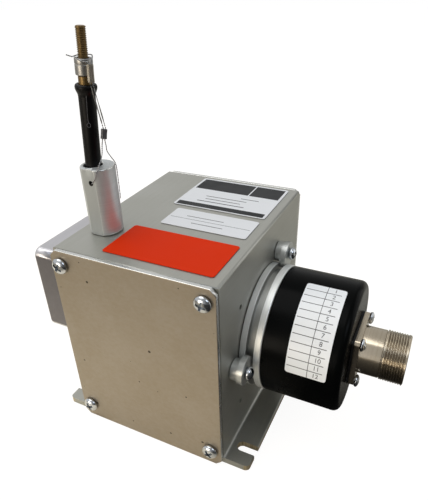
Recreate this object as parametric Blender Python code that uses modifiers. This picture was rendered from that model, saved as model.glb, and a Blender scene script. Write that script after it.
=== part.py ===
"""Draw-wire position sensor: a spring drum in an extruded housing, with a round encoder on its right wall.

Metres, +Z up. The origin is the centre of the flat bottom face, +X points along the encoder
towards its connector, and -Y is the front cover. The wire leaves upwards through the outlet.
"""

import math
from collections import namedtuple

import bmesh
import bpy
from mathutils import Matrix, Vector

# Clearances and counts
SEAT = 0.0003
THIN_SEAT = 0.00015
OVERRUN = 0.001
WELD = 0.000001
LARGE_ROUND = 32
MEDIUM_ROUND = 20
SMALL_ROUND = 12
TINY_ROUND = 8
CORNER_STEPS = 3
END_ROUND_SHARE = 0.49
CIRCLE_PHASE_SHARE = 0.25

# Housing: an aluminium extrusion along Y with two mounting tabs, closed by a plate at each end
HOUSING_WIDTH = 0.075
HOUSING_DEPTH = 0.097
HOUSING_HEIGHT = 0.094
WALL = 0.003
HOUSING_EDGE = 0.0018
CAVITY_EDGE = 0.001
TAB_REACH = 0.012
TAB_THICKNESS = 0.003
TAB_EDGE = 0.0006
TAB_CORNER = 0.0025
TAB_FILLET = 0.0007
SLOT_WIDTH = 0.005
SLOT_FROM_WALL = 0.0054
SLOT_FROM_END = 0.0114
COVER_THICKNESS = 0.002
COVER_EDGE = 0.00035
SCREW_FROM_SIDE = 0.0051
SCREW_FROM_TOP = 0.0064
SCREW_FROM_BOTTOM = 0.0082
PORT_WALL = 0.0018
PIN_HOLE_RADIUS = 0.001
PIN_HOLE_IN_PLATE = 0.0047

# Side housing: the hollow bulge on the left wall
BULGE_REACH = 0.012
BULGE_FRONT = 0.0022
BULGE_WIDTH = 0.0388
BULGE_BELOW_TOP = 0.004
BULGE_HEIGHT = 0.0406
BULGE_CORNER = 0.0038
BULGE_WALL = 0.002
BULGE_EDGE = 0.0007

# Encoder axis, from the middle of the housing
AXIS_BEFORE_MIDDLE = 0.0008
AXIS_BELOW_MIDDLE = 0.0004

# Wire, drum and spring motor
TURN_LENGTH = 0.15
WIRE_RADIUS = 0.000275
WINDING_TURNS = 7
WINDING_PITCH = 0.00098
WINDING_SIDE_GAP = 0.0002
WINDING_POINTS = MEDIUM_ROUND
OUTLET_FROM_LEFT = 0.0116
WIRE_LEFT_OF_OUTLET = 0.0022
DRUM_ABOVE_WIRE = 0.0018
DRUM_FLANGE = 0.001
DRUM_RIM = 0.002
DRUM_HUB_RADIUS = 0.008
DRUM_HUB_LENGTH = 0.01
SLEEVE_RADIUS = 0.017
SLEEVE_WALL = 0.0018
SLEEVE_END_GAP = 0.003
DRUM_TO_LID = 0.0008
LID_THICKNESS = 0.0015
LID_RUNNING_GAP = 0.0006
CASE_TO_HOUSING = 0.0036
CASE_WALL = 0.002
CASE_WEB = 0.003
CASE_LENGTH_SHARE = 0.5555
CARRIER_HUB_RADIUS = 0.0145
BELL_INSIDE_PLATE = 0.002
BELL_WALL = 0.002
CARRIER_PLATE_TO_PORT = 0.0036
CARRIER_PLATE_THICKNESS = 0.003
CARRIER_PLATE_CORNER = 0.004
SPRING_TURNS = 5
SPRING_POINTS = 14
SPRING_THICKNESS = 0.0004
SPRING_MARGIN = 0.002
SHAFT_RADIUS = 0.004
SHAFT_CHAMFER = 0.0004
BEARING_OUTER = 0.011
BEARING_WIDTH = 0.007
BEARING_RING = 0.0017
BEARING_SHOULDER = 0.0015
BEARING_FROM_HUB_END = 0.001
BALL_RADIUS = 0.00125
BALL_COUNT = 7
BALL_SIDES = 5
CAGE_WALL = 0.0008
CAGE_WIDTH = 0.0012
COUPLING_RADIUS = 0.0095
COUPLING_FROM_WEB = 0.001
COUPLING_FROM_WALL = 0.002
COUPLING_GROOVE = 0.001
COUPLING_GROOVE_DEPTH = 0.0018
COUPLING_GROOVES = 2
SHAFT_GAP = 0.003

# Encoder on the right wall, lengths from the wall's outer face
ENCODER_RADIUS = 0.029
SPIGOT_RADIUS = 0.025
SPIGOT_LENGTH = 0.0027
RIM_END = 0.003
GROOVE_END = 0.0065
GROOVE_RADIUS = 0.026
FLANGE_END = 0.00965
FLANGE_CHAMFER = 0.0004
BOSS_LENGTH = 0.0035
COVER_RADIUS = 0.0288
COVER_WALL = 0.0015
COVER_END = 0.0425
COVER_ROUND = 0.003
CABLE_HOLE_RADIUS = 0.0085
ENCODER_SHAFT_RADIUS = 0.003
ENCODER_SHAFT_END = 0.0195
ENCODER_BEARING_OUTER = 0.0065
ENCODER_BEARING_WIDTH = 0.005
ENCODER_BEARING_STARTS = (-0.002, 0.0068)
DISC_RADIUS = 0.018
DISC_THICKNESS = 0.001
DISC_FROM_END = 0.004
BOARD_THICKNESS = 0.0016
BOARD_PLACE = 0.027
SCANNER_SIZE = (0.012, 0.01)
SCANNER_RADIUS = 0.012
SCANNER_TO_DISC = 0.0008

# Synchro clamps: an eccentric disc on a stand-off, reaching into the flange's groove
CLAMP_ANGLES = tuple(math.radians(degrees) for degrees in (30, 150, 270))
CLAMP_CIRCLE = 0.034
CLAMP_FOOT_RADIUS = 0.0047
CLAMP_FOOT_HEIGHT = 0.003
CLAMP_DISC_RADIUS = 0.0062
CLAMP_DISC_THICKNESS = 0.0025
CLAMP_ECCENTRICITY = 0.001
CLAMP_EDGE = 0.0003

# Connector on the encoder's end, lengths along the axis
CONNECTOR_SQUARE = 0.024
CONNECTOR_CORNER = 0.0022
GASKET_THICKNESS = 0.0007
CONNECTOR_FLANGE = 0.0022
CONNECTOR_SCREW_OFFSET = 0.0098
BARREL_RADIUS = 0.0104
BARREL_LENGTH = 0.009
THREAD_RADIUS = 0.01075
THREAD_LENGTH = 0.0095
THREAD_CHAMFER = 0.0006
SOCKET_RADIUS = 0.0087
SOCKET_DEPTH = 0.0125
INSERT_HEIGHT = 0.002
CONTACT_RADIUS = 0.0006
CONTACT_LENGTH = 0.004
CONTACT_CIRCLES = ((9, 0.0061), (3, 0.0025))
CONTACT_SIDES = 6

# Wire outlet on the top wall, heights above the top face
OUTLET_RADIUS = 0.007
OUTLET_HEIGHT = 0.0289
OUTLET_CHAMFER = 0.0004
OUTLET_SPIGOT_RADIUS = 0.005
OUTLET_SPIGOT_LENGTH = 0.0027
OUTLET_THROAT_RADIUS = 0.0022
OUTLET_BORE_RADIUS = 0.0038
OUTLET_BORE_DEPTH = 0.0162
OUTLET_FLAT_DISTANCE = 0.0064
OUTLET_HOLE_RADIUS = 0.00075
OUTLET_HOLE_BELOW_TOP = 0.0055
OUTLET_HOLE_ASIDE = 0.0012
BUSH_BORE_RADIUS = 0.0007
BUSH_MOUTH_RADIUS = 0.0015
BUSH_MOUTH_DEPTH = 0.0015

# Wire end: a rubber sleeve round a brass stud, which leans in the outlet; heights along its own axis
LEAN_HEADING = math.radians(8)
LEAN_ANGLE = math.radians(4.2)
FOOT_BELOW_TOP = 0.0048
FOOT_ABOVE_WIRE = 0.0005
RUBBER_RADIUS = 0.0032
RUBBER_FOOT_RADIUS = 0.003
RUBBER_FOOT_HEIGHT = 0.001
RUBBER_LENGTH = 0.0359
LIP_RADIUS = 0.0041
LIP_HEIGHT = 0.0038
LIP_ROUND = 0.0006
COLLAR_RADIUS = 0.00255
COLLAR_IN_RUBBER = 0.006
COLLAR_SHOWING = 0.0028
STUD_RADIUS = 0.0019
STUD_LENGTH = 0.0165
CLAMP_RING_RADIUS = 0.0033
CLAMP_RING_HEIGHT = 0.0058

# Lashing wire and its two crimps: sideways, towards the front and up, from the outlet's axis and top wall
SIDE_HEADING = math.radians(40.7)
LASHING_RADIUS = 0.00024
CRIMP_WIDTH = 0.0026
CRIMP_THICKNESS = 0.0015
CRIMP_WALL = 0.0003
CRIMP_LEAD = 0.0006
STRAND_ASIDE = 0.00045
UPPER_CRIMP = ((0.0030, 0.0047, 0.0670), (0.0026, 0.0047, 0.0610))
LOWER_CRIMP = ((0.0047, 0.0022, 0.0433), (0.0040, 0.0024, 0.0397))
ROUTE_TO_KNOT = (
    (0.0045, 0.0024, 0.0370),
    (0.0046, 0.0024, 0.0347),
    (0.0059, 0.0016, 0.0318),
    (0.0070, 0.0008, 0.0295),
    (0.0074, 0.0008, 0.0270),
    (0.0074, 0.0008, 0.0207),
    (0.0073, 0.0008, 0.0138),
)
ROUTE_TO_HOLE = (
    (0.0030, 0.0026, 0.0372),
    (0.0026, 0.0032, 0.0346),
    (0.0019, 0.0046, 0.0327),
    (0.0005, 0.0066, 0.0305),
    (-0.0008, 0.0073, 0.0281),
    (-0.0018, 0.0072, 0.0256),
    (-0.00325, 0.00615, 0.0235),
)
ROUTE_BEHIND_STUD = (
    (0.0041, 0.0035, 0.0686),
    (0.0043, 0.0010, 0.0694),
    (0.0034, -0.0013, 0.0695),
    (0.0012, -0.0023, 0.0695),
    (-0.0009, -0.0013, 0.0695),
    (-0.0021, 0.0003, 0.0694),
    (-0.0028, 0.0008, 0.0694),
    (-0.0046, 0.0016, 0.0702),
)
ROUTE_BEFORE_STUD = (
    (-0.0021, 0.0003, 0.0694),
    (-0.0018, 0.0021, 0.0693),
    (-0.0012, 0.0031, 0.0689),
    (0.0000, 0.0041, 0.0683),
    (0.0013, 0.0046, 0.0679),
)
ROUTE_STEPS = 2

# Labels: from the housing's left and right sides, and their start and end as shares of its depth
LABEL_THICKNESS = 0.0002
LABEL_CORNER = 0.0012
RED_FROM_LEFT = 0.021
RED_FROM_RIGHT = 0.0043
RED_DEPTH_SHARE = (0.0732, 0.3247)
SMALL_FROM_LEFT = 0.0295
SMALL_FROM_RIGHT = 0.005
SMALL_DEPTH_SHARE = (0.3897, 0.5598)
LARGE_FROM_LEFT = 0.0245
LARGE_FROM_RIGHT = 0.0045
LARGE_DEPTH_SHARE = (0.5979, 0.9505)
PIN_LABEL_START = 0.0204
PIN_LABEL_END = 0.0370
PIN_LABEL_FIRST = math.radians(-85.5)
PIN_LABEL_TURN = math.radians(80)
PIN_LABEL_STEPS = 12

# Screws: pan heads, the cover's with a cross recess
Screw = namedtuple("Screw", "head_radius head_height rim_height shank_radius length recess recess_depth")
COVER_SCREW = Screw(0.0036, 0.0026, 0.0007, 0.002, 0.01, 0.0009, 0.0013)
CLAMP_SCREW = Screw(0.0028, 0.0022, 0.0006, 0.0015, 0.0085, 0, 0)
CONNECTOR_SCREW = Screw(0.0023, 0.0016, 0.0005, 0.00125, 0.0042, 0, 0)
RECESS_WIDTH_SHARE = 1.15
DOME_STEPS = 2

# Places worked out from the sizes
RIGHT = HOUSING_WIDTH / 2
FRONT = -HOUSING_DEPTH / 2
INNER_RIGHT = RIGHT - WALL
BODY_DEPTH = HOUSING_DEPTH - 2 * (COVER_THICKNESS + SEAT)
AXIS_Y = -AXIS_BEFORE_MIDDLE
AXIS_HEIGHT = HOUSING_HEIGHT / 2 - AXIS_BELOW_MIDDLE
PORT_X = RIGHT - SCREW_FROM_SIDE - COVER_SCREW.shank_radius - PORT_WALL
PORT_LOW = SCREW_FROM_BOTTOM + COVER_SCREW.shank_radius + PORT_WALL
PORT_HIGH = HOUSING_HEIGHT - SCREW_FROM_TOP - COVER_SCREW.shank_radius - PORT_WALL
ROOM_IN_DEPTH = BODY_DEPTH / 2 - AXIS_BEFORE_MIDDLE
ROOM_BY_AXIS = min(AXIS_HEIGHT - WALL, HOUSING_HEIGHT - WALL - AXIS_HEIGHT, ROOM_IN_DEPTH)
ROOM_BY_PORTS = min(AXIS_HEIGHT - PORT_LOW, PORT_HIGH - AXIS_HEIGHT, ROOM_IN_DEPTH)
PITCH_RADIUS = TURN_LENGTH / math.tau
OUTLET_X = OUTLET_FROM_LEFT - RIGHT
WIRE_X = OUTLET_X - WIRE_LEFT_OF_OUTLET
WIRE_Y = AXIS_Y - PITCH_RADIUS
WINDING_FLOOR = PITCH_RADIUS - WIRE_RADIUS - SEAT
WINDING_LENGTH = WINDING_TURNS * WINDING_PITCH
DRUM_FLANGE_RADIUS = PITCH_RADIUS + WIRE_RADIUS + DRUM_ABOVE_WIRE
DRUM_LEFT = WIRE_X - WIRE_RADIUS - WINDING_SIDE_GAP - DRUM_FLANGE
DRUM_RIGHT = WIRE_X + WINDING_LENGTH + WIRE_RADIUS + WINDING_SIDE_GAP + DRUM_FLANGE
LID_LEFT = DRUM_RIGHT + DRUM_TO_LID
CASE_LEFT = LID_LEFT + LID_THICKNESS + SEAT
CASE_RIGHT = CASE_LEFT + (INNER_RIGHT - CASE_LEFT) * CASE_LENGTH_SHARE
CASE_RADIUS = ROOM_BY_AXIS - CASE_TO_HOUSING
CARRIER_PLATE = 2 * (ROOM_BY_PORTS - CARRIER_PLATE_TO_PORT)
BELL_RADIUS = CARRIER_PLATE / 2 - BELL_INSIDE_PLATE
PIN_HOLE_OFFSET = CARRIER_PLATE / 2 - PIN_HOLE_IN_PLATE
WEB_LEFT = CASE_RIGHT - CASE_WEB
PLATE_LEFT = INNER_RIGHT - SEAT - CARRIER_PLATE_THICKNESS
SLEEVE_END = WEB_LEFT - SLEEVE_END_GAP
BEARING_BORE = BEARING_OUTER + SEAT
FIRST_BEARING = CASE_LEFT + BEARING_FROM_HUB_END
SECOND_BEARING = WEB_LEFT - BEARING_WIDTH
COUPLING_LEFT = CASE_RIGHT + COUPLING_FROM_WEB
COUPLING_LENGTH = INNER_RIGHT - COUPLING_FROM_WALL - COUPLING_LEFT
COUPLING_MIDDLE = COUPLING_LEFT + COUPLING_LENGTH / 2
BOSS_END = FLANGE_END + BOSS_LENGTH
COVER_INNER = COVER_RADIUS - COVER_WALL
GASKET_START = RIGHT + COVER_END + THIN_SEAT
CONNECTOR_START = GASKET_START + GASKET_THICKNESS + THIN_SEAT
BARREL_START = CONNECTOR_START + CONNECTOR_FLANGE
THREAD_START = BARREL_START + BARREL_LENGTH
CONNECTOR_END = THREAD_START + THREAD_LENGTH
SOCKET_FLOOR = CONNECTOR_END - SOCKET_DEPTH
FOOT_HEIGHT = HOUSING_HEIGHT + OUTLET_HEIGHT - FOOT_BELOW_TOP
SCREW_PLACES = [
    (side * (RIGHT - SCREW_FROM_SIDE), height)
    for side in (-1, 1)
    for height in (SCREW_FROM_BOTTOM, HOUSING_HEIGHT - SCREW_FROM_TOP)
]
CONNECTOR_CORNERS = [
    (x * CONNECTOR_SCREW_OFFSET, y * CONNECTOR_SCREW_OFFSET) for x in (-1, 1) for y in (-1, 1)
]

# Turns of a piece: local +Z onto the axis named
ALONG_X = (0, math.radians(90), 0)
ALONG_FRONT = (math.radians(90), 0, 0)
ALONG_BACK = (math.radians(-90), 0, 0)


for old_object in list(bpy.data.objects):
    bpy.data.objects.remove(old_object, do_unlink=True)
for old_collection in list(bpy.data.collections):
    bpy.data.collections.remove(old_collection)


def new_collection(name, hidden=False):
    made = bpy.data.collections.new(name)
    made.hide_render = hidden
    bpy.context.scene.collection.children.link(made)
    return made


MODEL = new_collection("draw_wire_sensor")
CUTTERS = new_collection("cutters", hidden=True)


def linear(channel):
    return channel / 12.92 if channel <= 0.04045 else ((channel + 0.055) / 1.055) ** 2.4


def material(name, colour, roughness, metallic=0.0):
    """A Principled BSDF from an sRGB hex colour."""
    made = bpy.data.materials.new(name)
    made.use_nodes = True
    shader = made.node_tree.nodes["Principled BSDF"]
    channels = [linear(int(colour[i : i + 2], 16) / 255) for i in (1, 3, 5)]
    shader.inputs["Base Color"].default_value = (*channels, 1)
    shader.inputs["Roughness"].default_value = roughness
    shader.inputs["Metallic"].default_value = metallic
    made.diffuse_color = (*channels, 1)
    return made


ANODISED = material("anodised_aluminium", "#A3A096", 0.4, 0.9)
TURNED_ALUMINIUM = material("turned_aluminium", "#B9B9B4", 0.3, 1.0)
ZINC_STEEL = material("zinc_plated_steel", "#B4B5B8", 0.25, 1.0)
GREY_PAINT = material("dark_grey_paint", "#6B6965", 0.5)
BLACK_COAT = material("black_powder_coat", "#141516", 0.35)
NICKEL_BRASS = material("nickel_plated_brass", "#A89C8C", 0.3, 1.0)
BRASS = material("aged_brass", "#6E4A1E", 0.35, 1.0)
RUBBER = material("black_rubber", "#0E0F10", 0.6)
BLACK_PLASTIC = material("black_contact_plastic", "#17181A", 0.45)
WHITE_PLASTIC = material("white_guide_plastic", "#D8D8D0", 0.4)
STAINLESS = material("stainless_wire", "#9A948A", 0.35, 1.0)
SPRING_STEEL = material("spring_steel", "#54606E", 0.35, 1.0)
BEARING_STEEL = material("bearing_steel", "#A9ACAF", 0.2, 1.0)
RED_FOIL = material("red_label_foil", "#D93A08", 0.35)
WHITE_FOIL = material("silver_label_foil", "#D6D8D8", 0.35)
GLASS_DISC = material("code_disc_glass", "#7F8F92", 0.1)
BOARD_GREEN = material("circuit_board", "#1E5A36", 0.5)


def add(name, data, finish=None, cutter=False):
    obj = bpy.data.objects.new(name, data)
    if cutter:
        CUTTERS.objects.link(obj)
        obj.hide_render = True
        obj.display_type = "WIRE"
    else:
        MODEL.objects.link(obj)
    if finish is not None:
        data.materials.clear()
        data.materials.append(finish)
    return obj


def place(obj, location=(0, 0, 0), turn=(0, 0, 0), spin=0.0, parent=None):
    """Sets the object's place, with spin about its own Z axis before the turn."""
    obj.rotation_mode = "ZYX"
    obj.location = location
    obj.rotation_euler = (turn[0], turn[1], turn[2] + spin)
    obj.parent = parent
    return obj


def empty(name, matrix):
    made = bpy.data.objects.new(name, None)
    MODEL.objects.link(made)
    made.matrix_world = matrix
    return made


def turned(name, profile, segments, finish=None, ring=False, angle=math.tau, cutter=False):
    """A profile of (radius, height) points, top to bottom down its outer side, turned about Z."""
    mesh = bpy.data.meshes.new(name)
    points = [(radius, 0, height) for radius, height in profile]
    edges = [(i, i + 1) for i in range(len(points) - 1)]
    if ring:
        edges.append((len(points) - 1, 0))
    mesh.from_pydata(points, edges, [])
    obj = add(name, mesh, finish, cutter)
    screw = obj.modifiers.new("turn", "SCREW")
    screw.angle = angle
    screw.steps = segments
    screw.render_steps = segments
    screw.use_merge_vertices = True
    screw.merge_threshold = WELD
    screw.use_smooth_shade = True
    return obj


def flat_looking(obj):
    obj.modifiers.new("flat faces", "WEIGHTED_NORMAL")
    return obj


def rounded(corners, steps=CORNER_STEPS):
    """The points of a closed outline, from (x, y, radius) corners."""
    outline = []
    for i, (x, y, radius) in enumerate(corners):
        corner = Vector((x, y))
        back = (Vector(corners[i - 1][:2]) - corner).normalized()
        ahead = (Vector(corners[(i + 1) % len(corners)][:2]) - corner).normalized()
        if radius == 0:
            outline.append((x, y))
            continue
        half = back.angle(ahead) / 2
        centre = corner + (back + ahead).normalized() * radius / math.sin(half)
        first = corner + back * radius / math.tan(half) - centre
        sweep = first.angle_signed(corner + ahead * radius / math.tan(half) - centre)
        for step in range(steps + 1):
            turn = Matrix.Rotation(-sweep * step / steps, 2)
            outline.append(tuple(centre + turn @ first))
    return outline


def rectangle(width, height, radius):
    x, y = width / 2, height / 2
    return rounded([(-x, -y, radius), (x, -y, radius), (x, y, radius), (-x, y, radius)])


def circle(x, y, radius, count):
    """A hole's outline, turned a quarter of a step so that holes in a row have no points in one line."""
    angles = [math.tau * (i + CIRCLE_PHASE_SHARE) / count for i in range(count)]
    return [(x + radius * math.cos(a), y + radius * math.sin(a)) for a in angles]


def plate(name, outline, thickness, finish=None, holes=(), cutter=False):
    """A flat outline with its holes, filled and extruded evenly about z = 0."""
    curve = bpy.data.curves.new(name, "CURVE")
    curve.dimensions = "2D"
    curve.fill_mode = "BOTH"
    curve.extrude = thickness / 2
    for points in (outline, *holes):
        spline = curve.splines.new("POLY")
        spline.points.add(len(points) - 1)
        for point, (x, y) in zip(spline.points, points):
            point.co = (x, y, 0, 1)
        spline.use_cyclic_u = True
    return add(name, curve, finish, cutter)


def as_mesh(obj):
    """The object as a mesh of its own, with its caps welded on and its modifiers applied."""
    bpy.context.view_layer.update()
    graph = bpy.context.evaluated_depsgraph_get()
    mesh = bpy.data.meshes.new_from_object(obj.evaluated_get(graph))
    bm = bmesh.new()
    bm.from_mesh(mesh)
    bmesh.ops.remove_doubles(bm, verts=bm.verts, dist=WELD)
    bmesh.ops.recalc_face_normals(bm, faces=bm.faces)
    bm.to_mesh(mesh)
    bm.free()
    mesh.shade_smooth()
    mesh.set_sharp_from_angle(angle=math.radians(35))
    name, matrix = obj.name, obj.matrix_world.copy()
    is_cutter = obj.hide_render
    bpy.data.objects.remove(obj, do_unlink=True)
    made = add(name, mesh, cutter=is_cutter)
    made.matrix_world = matrix
    return made


def tube(name, points, radius, finish, resolution=2, parent=None):
    curve = bpy.data.curves.new(name, "CURVE")
    curve.dimensions = "3D"
    curve.bevel_depth = radius
    curve.bevel_resolution = resolution
    curve.use_fill_caps = True
    spline = curve.splines.new("POLY")
    spline.points.add(len(points) - 1)
    for point, place_of in zip(spline.points, points):
        point.co = (*place_of, 1)
    obj = add(name, curve, finish)
    obj.parent = parent
    return obj


def block(name, size, cutter=False, finish=None):
    bm = bmesh.new()
    bmesh.ops.create_cube(bm, size=1)
    bmesh.ops.scale(bm, vec=size, verts=bm.verts)
    mesh = bpy.data.meshes.new(name)
    bm.to_mesh(mesh)
    bm.free()
    return add(name, mesh, finish, cutter)


def rod(name, radius, length, segments, cutter=False, finish=None):
    bm = bmesh.new()
    bmesh.ops.create_cone(
        bm, cap_ends=True, segments=segments, radius1=radius, radius2=radius, depth=length
    )
    mesh = bpy.data.meshes.new(name)
    bm.to_mesh(mesh)
    bm.free()
    return add(name, mesh, finish, cutter)


def combine(obj, other, operation="DIFFERENCE"):
    boolean = obj.modifiers.new(operation.lower() + " " + other.name, "BOOLEAN")
    boolean.operation = operation
    boolean.object = other
    boolean.solver = "EXACT"
    return obj


def soften(obj, width, chosen, segments=1):
    """Bevels the edges whose two ends are both chosen by their local place."""
    mesh = obj.data
    weight = mesh.attributes.new("bevel_weight_edge", "FLOAT", "EDGE")
    for edge in mesh.edges:
        if all(chosen(mesh.vertices[end].co) for end in edge.vertices):
            weight.data[edge.index].value = 1
    bevel = obj.modifiers.new("soft edges", "BEVEL")
    bevel.limit_method = "WEIGHT"
    bevel.width = width
    bevel.segments = segments
    return obj


def about_axis(radius, angle):
    """Local x and y in an axis frame, for an angle from straight up towards the back."""
    return -radius * math.cos(angle), radius * math.sin(angle)


def screw_mesh(size, name):
    """A pan-head screw with its head above z = 0 and its shank below."""
    dome = size.head_height - size.rim_height
    profile = [(0, size.head_height)]
    for step in range(1, DOME_STEPS + 1):
        angle = math.radians(90) * step / DOME_STEPS
        profile.append((size.head_radius * math.sin(angle), size.rim_height + dome * math.cos(angle)))
    profile += [(size.head_radius, 0), (size.shank_radius, 0), (size.shank_radius, -size.length)]
    profile.append((0, -size.length))
    obj = turned(name, profile, SMALL_ROUND, ZINC_STEEL)
    for number, turn in enumerate((0, math.radians(90)) if size.recess else ()):
        bar_size = (size.head_radius * RECESS_WIDTH_SHARE, size.recess, 2 * size.recess_depth)
        bar = block(f"{name}_recess_{number}", bar_size, True)
        place(bar, (0, 0, size.head_height), spin=turn)
        combine(obj, bar)
    return as_mesh(obj)


def screws(name, size, places, turn, spins, parent=None):
    """Copies of one screw mesh, under their heads at the places given."""
    first = screw_mesh(size, name + "_1")
    for number, (location, spin) in enumerate(zip(places, spins), 1):
        copy = first if number == 1 else add(f"{name}_{number}", first.data)
        place(copy, location, turn, math.radians(spin), parent)


def frames():
    """The encoder axis, the drum's own copy of it, and the leaning axis of the wire end."""
    axis = Matrix.Translation((0, AXIS_Y, AXIS_HEIGHT)) @ Matrix.Rotation(math.radians(90), 4, "Y")
    heading = Vector((math.cos(LEAN_HEADING), math.sin(LEAN_HEADING), 0))
    foot = Vector((WIRE_X, WIRE_Y, FOOT_HEIGHT))
    lean = Matrix.Rotation(LEAN_ANGLE, 4, Vector((0, 0, 1)).cross(heading))
    return (
        empty("encoder_axis", axis),
        empty("drum_axis", axis),
        empty("wire_end_axis", Matrix.Translation(foot) @ lean),
    )


ENCODER_AXIS, DRUM_AXIS, WIRE_END_AXIS = frames()


def slot_cutter(name, side, end):
    """An open slot in a mounting tab, with a round inner end."""
    length = TAB_REACH - SLOT_FROM_WALL + SLOT_WIDTH / 2 + OVERRUN
    outline = rounded(
        [
            (0, -SLOT_WIDTH / 2, SLOT_WIDTH * END_ROUND_SHARE),
            (length, -SLOT_WIDTH / 2, 0),
            (length, SLOT_WIDTH / 2, 0),
            (0, SLOT_WIDTH / 2, SLOT_WIDTH * END_ROUND_SHARE),
        ]
    )
    cutter = as_mesh(plate(name, outline, 2 * (TAB_THICKNESS + OVERRUN), cutter=True))
    inner = RIGHT + SLOT_FROM_WALL - SLOT_WIDTH / 2
    y = end * (HOUSING_DEPTH / 2 - SLOT_FROM_END)
    return place(cutter, (side * inner, y, 0), spin=0 if side > 0 else math.pi)


def tab_corner_cutter(name, side, end):
    """What rounds a tab's outer corner: a block less the corner's arc."""
    reach = TAB_CORNER + OVERRUN
    arc = [
        (TAB_CORNER * math.sin(a), TAB_CORNER * math.cos(a))
        for a in (math.radians(90) * step / CORNER_STEPS for step in range(CORNER_STEPS + 1))
    ]
    outline = [(0, reach), *arc, (reach, 0), (reach, reach)]
    cutter = as_mesh(plate(name, outline, 2 * (TAB_THICKNESS + OVERRUN), cutter=True))
    x = RIGHT + TAB_REACH - TAB_CORNER
    y = BODY_DEPTH / 2 - TAB_CORNER
    quarter = {(1, 1): 0, (-1, 1): 1, (-1, -1): 2, (1, -1): 3}[side, end]
    return place(cutter, (side * x, end * y, 0), spin=quarter * math.radians(90))


def cavity_outline():
    """The inside of the extrusion, which leaves a screw port in each corner."""
    x, low, high = INNER_RIGHT, WALL, HOUSING_HEIGHT - WALL
    half = [(PORT_X, low), (PORT_X, PORT_LOW), (x, PORT_LOW)]
    half += [(x, PORT_HIGH), (PORT_X, PORT_HIGH), (PORT_X, high)]
    corners = half + [(-px, pz) for px, pz in reversed(half)]
    return rounded([(px, pz, CAVITY_EDGE) for px, pz in corners], steps=1)


def housing_body():
    outer = RIGHT + TAB_REACH
    outline = rounded(
        [
            (-outer, 0, TAB_EDGE),
            (outer, 0, TAB_EDGE),
            (outer, TAB_THICKNESS, TAB_EDGE),
            (RIGHT, TAB_THICKNESS, TAB_FILLET),
            (RIGHT, HOUSING_HEIGHT, HOUSING_EDGE),
            (-RIGHT, HOUSING_HEIGHT, HOUSING_EDGE),
            (-RIGHT, TAB_THICKNESS, TAB_FILLET),
            (-outer, TAB_THICKNESS, TAB_EDGE),
        ]
    )
    port = COVER_SCREW.shank_radius + SEAT
    ports = [circle(x, z, port, SMALL_ROUND) for x, z in SCREW_PLACES]
    body = as_mesh(plate("housing_body", outline, BODY_DEPTH, ANODISED, [cavity_outline(), *ports]))
    place(body, turn=ALONG_FRONT)
    for side in (-1, 1):
        for end in (-1, 1):
            combine(body, slot_cutter(f"slot_{side}_{end}", side, end))
            combine(body, tab_corner_cutter(f"tab_corner_{side}_{end}", side, end))
    through = 2 * (WALL + OVERRUN)
    outlet_hole = rod("outlet_hole", OUTLET_SPIGOT_RADIUS + SEAT, through, MEDIUM_ROUND, True)
    combine(body, place(outlet_hole, (OUTLET_X, WIRE_Y, HOUSING_HEIGHT - WALL / 2)))
    spigot = rod("spigot_bore", SPIGOT_RADIUS + SEAT, through, LARGE_ROUND, True)
    combine(body, place(spigot, (0, 0, RIGHT - WALL / 2), parent=ENCODER_AXIS))
    for y in (-1, 1):
        for z in (-1, 1):
            hole = rod(f"pin_hole_{y}_{z}", PIN_HOLE_RADIUS, through, TINY_ROUND, True)
            corner = (z * PIN_HOLE_OFFSET, y * PIN_HOLE_OFFSET, RIGHT - WALL / 2)
            combine(body, place(hole, corner, parent=ENCODER_AXIS))
    for number, angle in enumerate(CLAMP_ANGLES, 1):
        hole = rod(f"clamp_hole_{number}", CLAMP_SCREW.shank_radius + SEAT, through, TINY_ROUND, True)
        centre = (*about_axis(CLAMP_CIRCLE, angle), RIGHT - WALL / 2)
        combine(body, place(hole, centre, parent=ENCODER_AXIS))
    return body


def end_cover(name, turn, y):
    """A plate with four screw holes; its outer face has a fine chamfer and points along local +Z."""
    outline = rounded(
        [
            (-RIGHT, 0, HOUSING_EDGE),
            (RIGHT, 0, HOUSING_EDGE),
            (RIGHT, HOUSING_HEIGHT, HOUSING_EDGE),
            (-RIGHT, HOUSING_HEIGHT, HOUSING_EDGE),
        ]
    )
    hole = COVER_SCREW.shank_radius + SEAT
    holes = [circle(x, z, hole, SMALL_ROUND) for x, z in SCREW_PLACES]
    cover = as_mesh(plate(name, outline, COVER_THICKNESS, ANODISED, holes))
    inside = {(round(x, 6), round(z, 6)) for points in holes for x, z in points}

    def on_front_rim(point):
        return point.z > 0 and (round(point.x, 6), round(point.y, 6)) not in inside

    soften(cover, COVER_EDGE, on_front_rim)
    if turn == ALONG_BACK:
        cover.data.transform(Matrix.Rotation(math.pi, 4, "Z"))
    return place(cover, (0, y, 0), turn)


def covers():
    middle = HOUSING_DEPTH / 2 - COVER_THICKNESS / 2
    end_cover("front_cover", ALONG_FRONT, -middle)
    end_cover("rear_cover", ALONG_BACK, middle)
    head = HOUSING_DEPTH / 2 + SEAT
    front = [(x, -head, z) for x, z in SCREW_PLACES]
    rear = [(x, head, z) for x, z in SCREW_PLACES]
    screws("front_cover_screw", COVER_SCREW, front, ALONG_FRONT, (20, 60, 35, 75))
    screws("rear_cover_screw", COVER_SCREW, rear, ALONG_BACK, (10, 50, 80, 30))


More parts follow.
